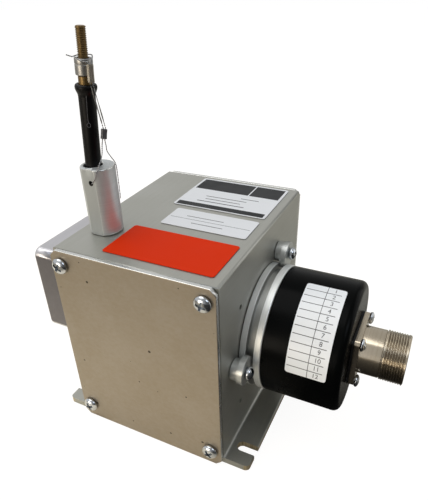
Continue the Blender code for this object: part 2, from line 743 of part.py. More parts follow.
def side_housing():
    """A shallow hollow cover, open towards the left wall."""
    height, width = BULGE_HEIGHT, BULGE_WIDTH
    reach = BULGE_REACH - SEAT
    shell = as_mesh(plate("side_housing", rectangle(height, width, BULGE_CORNER), reach, GREY_PAINT))
    soften(shell, BULGE_EDGE, lambda point: point.z < 0, segments=2)
    y = FRONT + BULGE_FRONT + width / 2
    z = HOUSING_HEIGHT - BULGE_BELOW_TOP - height / 2
    place(shell, (-RIGHT - SEAT - reach / 2, y, z), ALONG_X)
    inner = rectangle(height - 2 * BULGE_WALL, width - 2 * BULGE_WALL, BULGE_CORNER - BULGE_WALL)
    hollow = as_mesh(plate("side_housing_hollow", inner, reach, cutter=True))
    place(hollow, (-RIGHT - SEAT - reach / 2 + BULGE_WALL, y, z), ALONG_X)
    return combine(shell, hollow)


def labels():
    """Three thin foils on the top face, and one wrapped round the encoder's cover."""
    height = HOUSING_HEIGHT + THIN_SEAT + LABEL_THICKNESS / 2
    for name, left, right, shares, finish in (
        ("red_label", RED_FROM_LEFT, RED_FROM_RIGHT, RED_DEPTH_SHARE, RED_FOIL),
        ("small_label", SMALL_FROM_LEFT, SMALL_FROM_RIGHT, SMALL_DEPTH_SHARE, WHITE_FOIL),
        ("large_label", LARGE_FROM_LEFT, LARGE_FROM_RIGHT, LARGE_DEPTH_SHARE, WHITE_FOIL),
    ):
        start, end = (FRONT + HOUSING_DEPTH * share for share in shares)
        shape = rectangle(HOUSING_WIDTH - left - right, end - start, LABEL_CORNER)
        foil = plate(name, shape, LABEL_THICKNESS, finish)
        place(foil, ((left - right) / 2, (start + end) / 2, height))
    inner = COVER_RADIUS + THIN_SEAT
    outer = inner + LABEL_THICKNESS
    start, end = RIGHT + PIN_LABEL_START, RIGHT + PIN_LABEL_END
    edge = [(inner, end), (inner, start)]
    sheet = turned("pin_table_label", edge, PIN_LABEL_STEPS, WHITE_FOIL, angle=PIN_LABEL_TURN)
    solid = sheet.modifiers.new("foil", "SOLIDIFY")
    solid.thickness = outer - inner
    solid.offset = 1
    place(sheet, spin=math.pi - PIN_LABEL_FIRST - PIN_LABEL_TURN, parent=ENCODER_AXIS)


def outlet():
    """The turned guide on the top wall, with its off-centre bore, milled flat, cross hole and bush."""
    radius, top = OUTLET_RADIUS, OUTLET_HEIGHT
    profile = [
        (0, top),
        (radius - OUTLET_CHAMFER, top),
        (radius, top - OUTLET_CHAMFER),
        (radius, SEAT),
        (OUTLET_SPIGOT_RADIUS, SEAT),
        (OUTLET_SPIGOT_RADIUS, -OUTLET_SPIGOT_LENGTH),
        (0, -OUTLET_SPIGOT_LENGTH),
    ]
    body = turned("wire_outlet", profile, MEDIUM_ROUND, TURNED_ALUMINIUM)
    place(body, (OUTLET_X, WIRE_Y, HOUSING_HEIGHT))
    bore = rod("outlet_bore", OUTLET_BORE_RADIUS, 2 * OUTLET_BORE_DEPTH, MEDIUM_ROUND, True)
    combine(body, place(bore, (WIRE_X, WIRE_Y, HOUSING_HEIGHT + top)))
    throat = rod("outlet_throat", OUTLET_THROAT_RADIUS, 2 * top, SMALL_ROUND, True)
    combine(body, place(throat, (WIRE_X, WIRE_Y, HOUSING_HEIGHT)))
    flat = block("outlet_flat", (2 * radius + OVERRUN, radius, top + OVERRUN), True)
    middle = HOUSING_HEIGHT + SEAT + (top + OVERRUN) / 2
    combine(body, place(flat, (OUTLET_X, WIRE_Y - OUTLET_FLAT_DISTANCE - radius / 2, middle)))
    hole = rod("outlet_cross_hole", OUTLET_HOLE_RADIUS, radius, TINY_ROUND, True)
    height = HOUSING_HEIGHT + top - OUTLET_HOLE_BELOW_TOP
    combine(body, place(hole, (OUTLET_X + OUTLET_HOLE_ASIDE, WIRE_Y - radius, height), ALONG_FRONT))
    low, high = -OUTLET_SPIGOT_LENGTH, top - OUTLET_BORE_DEPTH
    bush = [
        (OUTLET_THROAT_RADIUS - THIN_SEAT, high),
        (OUTLET_THROAT_RADIUS - THIN_SEAT, low),
        (BUSH_BORE_RADIUS, low),
        (BUSH_BORE_RADIUS, high - BUSH_MOUTH_DEPTH),
        (BUSH_MOUTH_RADIUS, high),
    ]
    liner = turned("outlet_bush", bush, SMALL_ROUND, WHITE_PLASTIC, ring=True)
    flat_looking(place(liner, (WIRE_X, WIRE_Y, HOUSING_HEIGHT)))


def bearing(name, left, parent_inner):
    """Outer ring, inner ring and a cage with its balls; the inner ring turns with the shaft."""
    right = left + BEARING_WIDTH
    inner = SHAFT_RADIUS + SEAT
    sizes = (("outer_ring", BEARING_OUTER - BEARING_RING, BEARING_OUTER, ENCODER_AXIS),)
    sizes += (("inner_ring", inner, inner + BEARING_RING, parent_inner),)
    for part, bore, radius, parent in sizes:
        profile = [(radius, right), (radius, left), (bore, left), (bore, right)]
        ring = turned(f"{name}_{part}", profile, MEDIUM_ROUND, BEARING_STEEL, ring=True)
        flat_looking(place(ring, parent=parent))
    track = (BEARING_OUTER - BEARING_RING + inner + BEARING_RING) / 2
    half = CAGE_WALL / 2
    profile = [(track + half, CAGE_WIDTH / 2), (track + half, -CAGE_WIDTH / 2)]
    profile += [(track - half, -CAGE_WIDTH / 2), (track - half, CAGE_WIDTH / 2)]
    cage = turned(f"{name}_ball_cage", profile, SMALL_ROUND, BEARING_STEEL, ring=True)
    rings = BALL_SIDES // 2 + 1
    for number in range(BALL_COUNT):
        bm = bmesh.new()
        bmesh.ops.create_uvsphere(bm, u_segments=BALL_SIDES, v_segments=rings, radius=BALL_RADIUS)
        mesh = bpy.data.meshes.new(f"{name}_ball_{number}")
        bm.to_mesh(mesh)
        bm.free()
        ball = add(mesh.name, mesh, cutter=True)
        combine(cage, place(ball, (*about_axis(track, math.tau * number / BALL_COUNT), 0)), "UNION")
    place(as_mesh(cage), (0, 0, left + BEARING_WIDTH / 2), parent=ENCODER_AXIS)


def cable_drum():
    """A spool on the shaft, with a sleeve that carries the spring's inner end in the spring case."""
    bore = SHAFT_RADIUS + SEAT
    rim = WINDING_FLOOR - DRUM_RIM
    profile = [
        (SLEEVE_RADIUS, SLEEVE_END),
        (SLEEVE_RADIUS, DRUM_RIGHT),
        (DRUM_FLANGE_RADIUS, DRUM_RIGHT),
        (DRUM_FLANGE_RADIUS, DRUM_RIGHT - DRUM_FLANGE),
        (WINDING_FLOOR, DRUM_RIGHT - DRUM_FLANGE),
        (WINDING_FLOOR, DRUM_LEFT + DRUM_FLANGE),
        (DRUM_FLANGE_RADIUS, DRUM_LEFT + DRUM_FLANGE),
        (DRUM_FLANGE_RADIUS, DRUM_LEFT),
        (bore, DRUM_LEFT),
        (bore, DRUM_LEFT + DRUM_HUB_LENGTH),
        (DRUM_HUB_RADIUS, DRUM_LEFT + DRUM_HUB_LENGTH),
        (DRUM_HUB_RADIUS, DRUM_LEFT + DRUM_RIM),
        (rim, DRUM_LEFT + DRUM_RIM),
        (rim, DRUM_RIGHT - DRUM_RIM),
        (SLEEVE_RADIUS - SLEEVE_WALL, DRUM_RIGHT - DRUM_RIM),
        (SLEEVE_RADIUS - SLEEVE_WALL, SLEEVE_END),
    ]
    drum = turned("cable_drum", profile, MEDIUM_ROUND, TURNED_ALUMINIUM, ring=True)
    flat_looking(place(drum, parent=DRUM_AXIS))


def winding_points():
    """One helix on the drum, whose last point is where the wire leaves the drum, at the front."""
    points = []
    count = WINDING_TURNS * WINDING_POINTS
    for step in range(count + 1):
        left = (count - step) / WINDING_POINTS
        angle = math.radians(-90) - math.tau * left
        points.append((*about_axis(PITCH_RADIUS, angle), WIRE_X + left * WINDING_PITCH))
    return points


def least_self_gap(points, radius, per_turn):
    """The least gap of a wound tube to itself, between points more than half a turn apart."""
    nearest = min(
        (Vector(first) - Vector(second)).length
        for i, first in enumerate(points)
        for second in points[i + per_turn // 2 :]
    )
    return nearest - 2 * radius


def wires():
    points = winding_points()
    gap = least_self_gap(points, WIRE_RADIUS, WINDING_POINTS)
    print(f"wire_winding: least gap to itself {gap * 1000:.2f} mm")
    tube("wire_winding", points, WIRE_RADIUS, STAINLESS, resolution=0, parent=DRUM_AXIS)
    bottom = Vector((WIRE_X, WIRE_Y, AXIS_HEIGHT + SEAT))
    top = Vector((WIRE_X, WIRE_Y, FOOT_HEIGHT - FOOT_ABOVE_WIRE))
    tube("measuring_wire", [bottom, top], WIRE_RADIUS, STAINLESS)


def bearing_carrier():
    """Hub, spring case and coupling bell in one turned piece, with a square plate against the right wall."""
    shoulder = BEARING_BORE - BEARING_SHOULDER
    wide = BELL_RADIUS - BELL_WALL
    profile = [
        (BELL_RADIUS, PLATE_LEFT + CARRIER_PLATE_THICKNESS / 2),
        (BELL_RADIUS, CASE_RIGHT),
        (CASE_RADIUS, CASE_RIGHT),
        (CASE_RADIUS, CASE_LEFT),
        (CASE_RADIUS - CASE_WALL, CASE_LEFT),
        (CASE_RADIUS - CASE_WALL, WEB_LEFT),
        (CARRIER_HUB_RADIUS, WEB_LEFT),
        (CARRIER_HUB_RADIUS, CASE_LEFT),
        (BEARING_BORE, CASE_LEFT),
        (BEARING_BORE, FIRST_BEARING + BEARING_WIDTH + SEAT),
        (shoulder, FIRST_BEARING + BEARING_WIDTH + SEAT),
        (shoulder, SECOND_BEARING - SEAT),
        (BEARING_BORE, SECOND_BEARING - SEAT),
        (BEARING_BORE, CASE_RIGHT),
        (wide, CASE_RIGHT),
        (wide, PLATE_LEFT + CARRIER_PLATE_THICKNESS / 2),
    ]
    carrier = turned("bearing_carrier", profile, MEDIUM_ROUND, TURNED_ALUMINIUM, ring=True)
    place(carrier, parent=ENCODER_AXIS)
    square = rectangle(CARRIER_PLATE, CARRIER_PLATE, CARRIER_PLATE_CORNER)
    holes = [circle(0, 0, wide + SEAT, MEDIUM_ROUND)]
    for y in (-1, 1):
        for x in (-1, 1):
            holes.append(circle(x * PIN_HOLE_OFFSET, y * PIN_HOLE_OFFSET, PIN_HOLE_RADIUS, TINY_ROUND))
    foot = as_mesh(plate("carrier_plate", square, CARRIER_PLATE_THICKNESS, None, holes, cutter=True))
    place(foot, (0, 0, PLATE_LEFT + CARRIER_PLATE_THICKNESS / 2), parent=ENCODER_AXIS)
    return flat_looking(combine(carrier, foot, "UNION"))


def spring_motor():
    bore = SLEEVE_RADIUS + LID_RUNNING_GAP
    right = LID_LEFT + LID_THICKNESS
    profile = [(CASE_RADIUS, right), (CASE_RADIUS, LID_LEFT), (bore, LID_LEFT), (bore, right)]
    lid = turned("spring_case_lid", profile, MEDIUM_ROUND, GREY_PAINT, ring=True)
    flat_looking(place(lid, parent=ENCODER_AXIS))
    first = SLEEVE_RADIUS + SEAT + SPRING_THICKNESS
    last = CASE_RADIUS - CASE_WALL - SEAT - SPRING_THICKNESS
    low, high = CASE_LEFT + SPRING_MARGIN, SLEEVE_END - SPRING_MARGIN
    bm = bmesh.new()
    count = SPRING_TURNS * SPRING_POINTS
    rails = []
    for step in range(count + 1):
        radius = first + (last - first) * step / count
        x, y = about_axis(radius, math.tau * step / SPRING_POINTS)
        rails.append((bm.verts.new((x, y, low)), bm.verts.new((x, y, high))))
    for (a, b), (c, d) in zip(rails, rails[1:]):
        bm.faces.new((a, c, d, b))
    mesh = bpy.data.meshes.new("power_spring")
    bm.to_mesh(mesh)
    bm.free()
    mesh.shade_smooth()
    strip = add("power_spring", mesh, SPRING_STEEL)
    solid = strip.modifiers.new("strip", "SOLIDIFY")
    solid.thickness = SPRING_THICKNESS
    solid.offset = 0
    place(strip, parent=ENCODER_AXIS)


def shafts():
    """The drum's shaft, the coupling and the encoder's own shaft with its code disc."""
    drum_end = COUPLING_MIDDLE - SHAFT_GAP / 2
    encoder_end = RIGHT + ENCODER_SHAFT_END
    encoder_start = COUPLING_MIDDLE + SHAFT_GAP / 2
    cut = SHAFT_CHAMFER
    for name, radius, left, right in (
        ("drum_shaft", SHAFT_RADIUS, DRUM_LEFT, drum_end),
        ("encoder_shaft", ENCODER_SHAFT_RADIUS, encoder_start, encoder_end),
    ):
        profile = [(0, right), (radius - cut, right), (radius, right - cut)]
        profile += [(radius, left + cut), (radius - cut, left), (0, left)]
        flat_looking(place(turned(name, profile, SMALL_ROUND, BEARING_STEEL), parent=DRUM_AXIS))
    left, right = COUPLING_LEFT, COUPLING_LEFT + COUPLING_LENGTH
    profile = [(COUPLING_RADIUS, right)]
    for number in range(COUPLING_GROOVES):
        middle = COUPLING_MIDDLE + ((COUPLING_GROOVES - 1) / 2 - number) * 2 * COUPLING_GROOVE
        floor = COUPLING_RADIUS - COUPLING_GROOVE_DEPTH
        high, low = middle + COUPLING_GROOVE / 2, middle - COUPLING_GROOVE / 2
        profile += [(COUPLING_RADIUS, high), (floor, high), (floor, low), (COUPLING_RADIUS, low)]
    profile += [(COUPLING_RADIUS, left), (SHAFT_RADIUS + SEAT, left), (SHAFT_RADIUS + SEAT, COUPLING_MIDDLE)]
    profile += [(ENCODER_SHAFT_RADIUS + SEAT, COUPLING_MIDDLE), (ENCODER_SHAFT_RADIUS + SEAT, right)]
    coupling = turned("shaft_coupling", profile, SMALL_ROUND, TURNED_ALUMINIUM, ring=True)
    flat_looking(place(coupling, parent=DRUM_AXIS))
    place_of = encoder_end - DISC_FROM_END
    bore = ENCODER_SHAFT_RADIUS + SEAT
    disc = [(DISC_RADIUS, place_of), (DISC_RADIUS, place_of - DISC_THICKNESS)]
    disc += [(bore, place_of - DISC_THICKNESS), (bore, place_of)]
    flat_looking(place(turned("code_disc", disc, MEDIUM_ROUND, GLASS_DISC, ring=True), parent=DRUM_AXIS))


def encoder():
    """Flange with its clamping groove, bearings, circuit board with the scanning head, and the cover."""
    wall, radius, cut = RIGHT, ENCODER_RADIUS, FLANGE_CHAMFER
    bore, boss = ENCODER_BEARING_OUTER + SEAT, COVER_INNER - SEAT
    profile = [
        (boss, wall + BOSS_END),
        (boss, wall + FLANGE_END),
        (radius - cut, wall + FLANGE_END),
        (radius, wall + FLANGE_END - cut),
        (radius, wall + GROOVE_END),
        (GROOVE_RADIUS, wall + GROOVE_END),
        (GROOVE_RADIUS, wall + RIM_END),
        (radius, wall + RIM_END),
        (radius, wall + SEAT),
        (SPIGOT_RADIUS, wall + SEAT),
        (SPIGOT_RADIUS, wall - SPIGOT_LENGTH),
        (bore, wall - SPIGOT_LENGTH),
        (bore, wall + BOSS_END),
    ]
    flange = turned("encoder_flange", profile, LARGE_ROUND, TURNED_ALUMINIUM, ring=True)
    flat_looking(place(flange, parent=ENCODER_AXIS))
    for number, start in enumerate(ENCODER_BEARING_STARTS, 1):
        left, right = wall + start, wall + start + ENCODER_BEARING_WIDTH
        inner = ENCODER_SHAFT_RADIUS + SEAT
        outer = ENCODER_BEARING_OUTER
        ring = [(outer, right), (outer, left), (inner, left), (inner, right)]
        made = turned(f"encoder_bearing_{number}", ring, SMALL_ROUND, BEARING_STEEL, ring=True)
        flat_looking(place(made, parent=ENCODER_AXIS))
    encoder_cover()
    board = rod("encoder_circuit_board", boss, BOARD_THICKNESS, MEDIUM_ROUND, finish=BOARD_GREEN)
    place(board, (0, 0, wall + BOARD_PLACE), parent=ENCODER_AXIS)
    disc_face = ENCODER_SHAFT_END - DISC_FROM_END
    depth = BOARD_PLACE - disc_face - SCANNER_TO_DISC
    head = block("scanning_head", (*SCANNER_SIZE, depth), True)
    place(head, (SCANNER_RADIUS, 0, wall + BOARD_PLACE - depth / 2), parent=ENCODER_AXIS)
    combine(board, head, "UNION")


def encoder_cover():
    start, end = RIGHT + FLANGE_END + SEAT, RIGHT + COVER_END
    profile = [(CABLE_HOLE_RADIUS, end)]
    for step in range(CORNER_STEPS + 1):
        angle = math.radians(90) * step / CORNER_STEPS
        out, along = COVER_ROUND * math.sin(angle), COVER_ROUND * math.cos(angle)
        profile.append((COVER_RADIUS - COVER_ROUND + out, end - COVER_ROUND + along))
    profile += [(COVER_RADIUS, start), (COVER_INNER, start), (COVER_INNER, end - COVER_ROUND)]
    profile += [(COVER_RADIUS - COVER_ROUND, end - COVER_WALL), (CABLE_HOLE_RADIUS, end - COVER_WALL)]
    cover = turned("encoder_cover", profile, LARGE_ROUND, BLACK_COAT, ring=True)
    place(cover, parent=ENCODER_AXIS)
    clear, through = CONNECTOR_SCREW.shank_radius + SEAT, 2 * COVER_WALL + OVERRUN
    for number, (x, y) in enumerate(CONNECTOR_CORNERS):
        hole = rod(f"cover_hole_{number}", clear, through, TINY_ROUND, True)
        combine(cover, place(hole, (x, y, end - COVER_WALL / 2), parent=ENCODER_AXIS))
    flat_looking(cover)


def synchro_clamps():
    low = RIGHT + SEAT
    foot_top = low + CLAMP_FOOT_HEIGHT
    disc_top = foot_top + CLAMP_DISC_THICKNESS
    foot_middle = (low + foot_top) / 2 + SEAT
    foot_height = CLAMP_FOOT_HEIGHT + 2 * SEAT
    inward = (CLAMP_CIRCLE - CLAMP_ECCENTRICITY) / CLAMP_CIRCLE
    radius, edge = CLAMP_DISC_RADIUS, CLAMP_EDGE
    profile = [(0, disc_top), (radius - edge, disc_top), (radius, disc_top - edge)]
    profile += [(radius, foot_top), (0, foot_top)]
    clear = CLAMP_SCREW.shank_radius + SEAT
    places = []
    for number, angle in enumerate(CLAMP_ANGLES, 1):
        x, y = about_axis(CLAMP_CIRCLE, angle)
        clamp = rod(f"synchro_clamp_{number}", CLAMP_FOOT_RADIUS, foot_height, MEDIUM_ROUND)
        clamp.data.materials.append(TURNED_ALUMINIUM)
        place(clamp, (x, y, foot_middle), parent=ENCODER_AXIS)
        disc = turned(f"clamp_disc_{number}", profile, MEDIUM_ROUND, cutter=True)
        combine(clamp, place(disc, (x * inward, y * inward, 0), parent=ENCODER_AXIS), "UNION")
        bore = rod(f"clamp_bore_{number}", clear, 2 * (disc_top - low), TINY_ROUND, True)
        combine(clamp, place(bore, (x, y, foot_top), parent=ENCODER_AXIS))
        places.append((x, y, disc_top + SEAT))
    screws("clamp_screw", CLAMP_SCREW, places, (0, 0, 0), (25, 65, 40), ENCODER_AXIS)


def connector():
    """Gasket, square-flanged shell with a barrel and a threaded end, contact insert and four screws."""
    square = rectangle(CONNECTOR_SQUARE, CONNECTOR_SQUARE, CONNECTOR_CORNER)
    hole = CONNECTOR_SCREW.shank_radius + SEAT
    holes = [circle(x, y, hole, TINY_ROUND) for x, y in CONNECTOR_CORNERS]
    middle = circle(0, 0, CABLE_HOLE_RADIUS, MEDIUM_ROUND)
    gasket = plate("connector_gasket", square, GASKET_THICKNESS, RUBBER, [middle, *holes])
    place(gasket, (0, 0, GASKET_START + GASKET_THICKNESS / 2), parent=ENCODER_AXIS)
    profile = [
        (THREAD_RADIUS - THREAD_CHAMFER, CONNECTOR_END),
        (THREAD_RADIUS, CONNECTOR_END - THREAD_CHAMFER),
        (THREAD_RADIUS, THREAD_START),
        (BARREL_RADIUS, THREAD_START),
        (BARREL_RADIUS, BARREL_START - CONNECTOR_FLANGE / 2),
        (SOCKET_RADIUS, BARREL_START - CONNECTOR_FLANGE / 2),
        (SOCKET_RADIUS, CONNECTOR_END),
    ]
    shell = turned("connector_shell", profile, MEDIUM_ROUND, NICKEL_BRASS, ring=True)
    place(shell, parent=ENCODER_AXIS)
    bore = circle(0, 0, SOCKET_RADIUS - SEAT, MEDIUM_ROUND)
    flange = as_mesh(plate("connector_flange", square, CONNECTOR_FLANGE, None, [bore, *holes], cutter=True))
    place(flange, (0, 0, BARREL_START - CONNECTOR_FLANGE / 2), parent=ENCODER_AXIS)
    flat_looking(combine(shell, flange, "UNION"))
    top = SOCKET_FLOOR + INSERT_HEIGHT
    depth = top - BARREL_START
    insert = rod("connector_insert", SOCKET_RADIUS - SEAT, depth, MEDIUM_ROUND, finish=BLACK_PLASTIC)
    place(insert, (0, 0, top - depth / 2), parent=ENCODER_AXIS)
    for count, radius in CONTACT_CIRCLES:
        for number in range(count):
            x, y = about_axis(radius, math.tau * number / count)
            length = CONTACT_LENGTH + OVERRUN
            pin = rod(f"contact_{count}_{number}", CONTACT_RADIUS, length, CONTACT_SIDES, True)
            place(pin, (x, y, top + (CONTACT_LENGTH - OVERRUN) / 2), parent=ENCODER_AXIS)
            combine(insert, pin, "UNION")
    heads = [(x, y, BARREL_START + THIN_SEAT) for x, y in CONNECTOR_CORNERS]
    screws("connector_screw", CONNECTOR_SCREW, heads, (0, 0, 0), (15, 45, 70, 30), ENCODER_AXIS)


def wire_end():
    """Rubber sleeve with a flared lip, brass stud with its collar, and a clamp ring round the stud."""
    collar_bottom = RUBBER_LENGTH - COLLAR_IN_RUBBER
    collar_top = RUBBER_LENGTH + COLLAR_SHOWING
    bore = COLLAR_RADIUS + SEAT
    profile = [
        (LIP_RADIUS - LIP_ROUND, RUBBER_LENGTH),
        (LIP_RADIUS, RUBBER_LENGTH - LIP_ROUND),
        (LIP_RADIUS, RUBBER_LENGTH - LIP_HEIGHT / 2),
        (RUBBER_RADIUS, RUBBER_LENGTH - LIP_HEIGHT),
        (RUBBER_RADIUS, RUBBER_FOOT_HEIGHT),
        (RUBBER_FOOT_RADIUS, 0),
        (0, 0),
    ]
    inside = [(0, collar_bottom - SEAT), (bore, collar_bottom - SEAT), (bore, RUBBER_LENGTH)]
    sleeve = turned("rubber_sleeve", inside + profile, SMALL_ROUND, RUBBER)
    place(sleeve, parent=WIRE_END_AXIS)
    top, cut = collar_top + STUD_LENGTH, SHAFT_CHAMFER
    stud = [(0, top), (STUD_RADIUS - cut, top), (STUD_RADIUS, top - cut), (STUD_RADIUS, collar_top)]
    stud += [(COLLAR_RADIUS, collar_top), (COLLAR_RADIUS, collar_bottom), (0, collar_bottom)]
    flat_looking(place(turned("threaded_stud", stud, SMALL_ROUND, BRASS), parent=WIRE_END_AXIS))
    low = collar_top + SEAT
    high, inner = low + CLAMP_RING_HEIGHT, STUD_RADIUS + SEAT
    ring = [(CLAMP_RING_RADIUS, high), (CLAMP_RING_RADIUS, low), (inner, low), (inner, high)]
    flat_looking(place(turned("clamp_ring", ring, SMALL_ROUND, ZINC_STEEL, ring=True), parent=WIRE_END_AXIS))


def beside_outlet(aside, forward, up):
    """World place of a point given sideways, towards the front and up from the outlet's foot."""
    side = Vector((math.cos(SIDE_HEADING), math.sin(SIDE_HEADING), 0))
    front = Vector((math.sin(SIDE_HEADING), -math.cos(SIDE_HEADING), 0))
    return Vector((OUTLET_X, WIRE_Y, HOUSING_HEIGHT + up)) + side * aside + front * forward


def smooth_route(points, steps):
    """Points read from a Catmull-Rom curve through the given ones."""
    ends = [2 * points[0] - points[1], *points, 2 * points[-1] - points[-2]]
    route = []
    for a, b, c, d in zip(ends, ends[1:], ends[2:], ends[3:]):
        for step in range(steps):
            t = step / steps
            part = 2 * b + (c - a) * t + (2 * a - 5 * b + 4 * c - d) * t**2
            route.append((part + (3 * b - a - 3 * c + d) * t**3) / 2)
    return [*route, points[-1]]


def crimp(name, ends):
    """A flattened ferrule with an oval bore for both strands; returns its strand places."""
    top, bottom = (beside_outlet(*end) for end in ends)
    outer = rectangle(CRIMP_WIDTH, CRIMP_THICKNESS, CRIMP_THICKNESS * END_ROUND_SHARE)
    width, height = CRIMP_WIDTH - 2 * CRIMP_WALL, CRIMP_THICKNESS - 2 * CRIMP_WALL
    inner = rectangle(width, height, height * END_ROUND_SHARE)
    ferrule = plate(name, outer, (top - bottom).length, STAINLESS, [inner])
    up = (top - bottom).normalized()
    across = Vector((math.cos(SIDE_HEADING), math.sin(SIDE_HEADING), 0))
    front = up.cross(across).normalized()
    across = front.cross(up)
    frame = Matrix((across, front, up)).transposed().to_4x4()
    ferrule.matrix_world = Matrix.Translation((top + bottom) / 2) @ frame
    heights = (top + up * CRIMP_LEAD, top, bottom, bottom - up * CRIMP_LEAD)
    return [[height + across * side for height in heights] for side in (-STRAND_ASIDE, STRAND_ASIDE)]


def lashing():
    """The tying wire round the stud: two strands through both crimps, one end at the outlet's cross hole."""
    upper_left, upper_right = crimp("crimp_upper", UPPER_CRIMP)
    lower_left, lower_right = crimp("crimp_lower", LOWER_CRIMP)
    to_knot, to_hole, behind, before = (
        [beside_outlet(*point) for point in route]
        for route in (ROUTE_TO_KNOT, ROUTE_TO_HOLE, ROUTE_BEHIND_STUD, ROUTE_BEFORE_STUD)
    )
    right = to_knot[::-1] + lower_right[::-1] + upper_right[::-1] + behind
    left = before + upper_left + lower_left + to_hole
    wire = tube("lashing_wire", smooth_route(right, ROUTE_STEPS), LASHING_RADIUS, STAINLESS, resolution=1)
    strand = tube("left_strand", smooth_route(left, ROUTE_STEPS), LASHING_RADIUS, STAINLESS, resolution=1)
    strand.hide_render = True
    return combine(as_mesh(wire), as_mesh(strand), "UNION")


housing_body()
covers()
side_housing()
labels()
outlet()
for bearing_number, bearing_left in enumerate((FIRST_BEARING, SECOND_BEARING), 1):
    bearing(f"drum_bearing_{bearing_number}", bearing_left, DRUM_AXIS)
cable_drum()
wires()
bearing_carrier()
spring_motor()
shafts()
encoder()
synchro_clamps()
connector()
wire_end()
lashing()
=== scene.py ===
# %% [markdown]
# # A draw-wire position sensor
# A thin wire runs from a spring drum up through a turned guide, and a round encoder on the right
# wall counts the drum's turns. The CAD model gives every place and size. This notebook dresses it:
# each cell makes one family of pieces or one finish, and says why it is made in that way.

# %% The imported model
import math

import bmesh
import bpy
from mathutils import Matrix, Vector


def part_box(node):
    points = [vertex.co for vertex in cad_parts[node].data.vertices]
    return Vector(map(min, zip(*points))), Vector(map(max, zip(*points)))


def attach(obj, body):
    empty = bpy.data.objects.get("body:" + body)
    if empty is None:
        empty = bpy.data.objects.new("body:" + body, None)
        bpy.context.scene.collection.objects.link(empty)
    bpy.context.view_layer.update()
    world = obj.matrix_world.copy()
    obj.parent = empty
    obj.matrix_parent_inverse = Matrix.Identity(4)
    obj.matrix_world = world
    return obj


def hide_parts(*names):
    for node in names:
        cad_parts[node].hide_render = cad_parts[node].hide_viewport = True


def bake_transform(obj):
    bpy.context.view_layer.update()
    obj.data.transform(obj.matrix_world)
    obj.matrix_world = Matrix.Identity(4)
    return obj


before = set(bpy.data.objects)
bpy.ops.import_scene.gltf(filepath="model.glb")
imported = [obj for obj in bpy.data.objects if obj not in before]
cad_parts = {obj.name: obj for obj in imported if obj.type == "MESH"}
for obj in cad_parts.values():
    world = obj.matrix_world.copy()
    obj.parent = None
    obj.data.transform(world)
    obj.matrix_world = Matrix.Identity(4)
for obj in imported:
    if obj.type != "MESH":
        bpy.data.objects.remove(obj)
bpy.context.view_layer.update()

MM = 0.001

# %% [markdown]
# ## The camera
# The photograph was taken from the front right, a little above the object. A camera could be placed
# by eye, but this place and turn come from a fit of the object's straight edges, so the picture and
# the model can be laid over each other. A small shift stands for the crop of the photograph.


# %% Camera
def linked(name, data):
    """An object in the scene."""
    obj = bpy.data.objects.new(name, data)
    bpy.context.scene.collection.objects.link(obj)
    return obj


IMAGE_WIDTH_PX, IMAGE_HEIGHT_PX = 428, 500
CENTRE_X_PX, CENTRE_Y_PX, FOCAL_PX = 211.569, 263.361, 480.603
SENSOR_MM = 24

camera_data = bpy.data.cameras.new("camera")
camera_data.sensor_fit = "VERTICAL"
camera_data.sensor_height = SENSOR_MM
camera_data.lens = FOCAL_PX / IMAGE_HEIGHT_PX * SENSOR_MM
camera_data.shift_x = (IMAGE_WIDTH_PX / 2 - CENTRE_X_PX) / IMAGE_HEIGHT_PX
camera_data.shift_y = (CENTRE_Y_PX - IMAGE_HEIGHT_PX / 2) / IMAGE_HEIGHT_PX
camera_data.clip_start = 0.01
camera = linked("camera", camera_data)
camera.location = (0.098532, -0.169568, 0.18755)
camera.rotation_euler = [math.radians(a) for a in (58.73791, 1.77763, 26.15855)]
bpy.context.scene.camera = camera
bpy.context.scene.view_settings.view_transform = "Standard"
print("lens:", round(camera_data.lens, 2), "mm")

# %% [markdown]
# ## Colours and nodes
# Colours are written as sRGB hex values, as a paint chart gives them, and Blender works in linear
# light, so one function turns them over. Another adds a node with its settings and links, for
# materials, the world and Geometry Nodes alike. Longer calculations are written as tables, which
# read like a recipe: each row names its result and may use the results above it.


# %% Helpers for colours and nodes
def srgb(code):
    """A linear RGBA colour from a hex code."""
    channels = [int(code[i : i + 2], 16) / 255 for i in (1, 3, 5)]
    return (*(c / 12.92 if c <= 0.04045 else ((c + 0.055) / 1.055) ** 2.4 for c in channels), 1)


def node(tree, kind, inputs=(), to=None, out=0, **settings):
    """Adds one node, sets its options and inputs, and links its output on. An input may be a node."""
    made = tree.nodes.new(kind)
    for option, value in settings.items():
        setattr(made, option, value)
    for socket, value in dict(inputs).items():
        if isinstance(value, bpy.types.Node):
            value = value.outputs[0]
        if isinstance(value, bpy.types.NodeSocket):
            tree.links.new(value, made.inputs[socket])
        else:
            made.inputs[socket].default_value = value
    if to is not None:
        tree.links.new(made.outputs[out], to)
    return made


OTHER_KINDS = {"COMBINE": "ShaderNodeCombineXYZ", "CLAMP": "ShaderNodeClamp"}


def work_out(tree, known, rows):
    """Adds a node for each row: a name, what it does, and its inputs, by value or by an earlier name."""
    for name, action, *values in rows:
        inputs = {i: known[value] if isinstance(value, str) else value for i, value in enumerate(values)}
        settings = {} if action in OTHER_KINDS else {"operation": action}
        known[name] = node(tree, OTHER_KINDS.get(action, "ShaderNodeMath"), inputs, **settings)
    return known


print("pure white is", srgb("#FFFFFF"), "and mid grey is", round(srgb("#808080")[0], 3))

# %% [markdown]
# ## Finishes in general
# A real surface is never one colour and one gloss. Each finish here starts from a colour, a
# roughness and a metallic value, and a noise then sways all three a little. It could be painted in
# an image, but a noise that reads the place in metres stays sharp and needs no unwrapping.


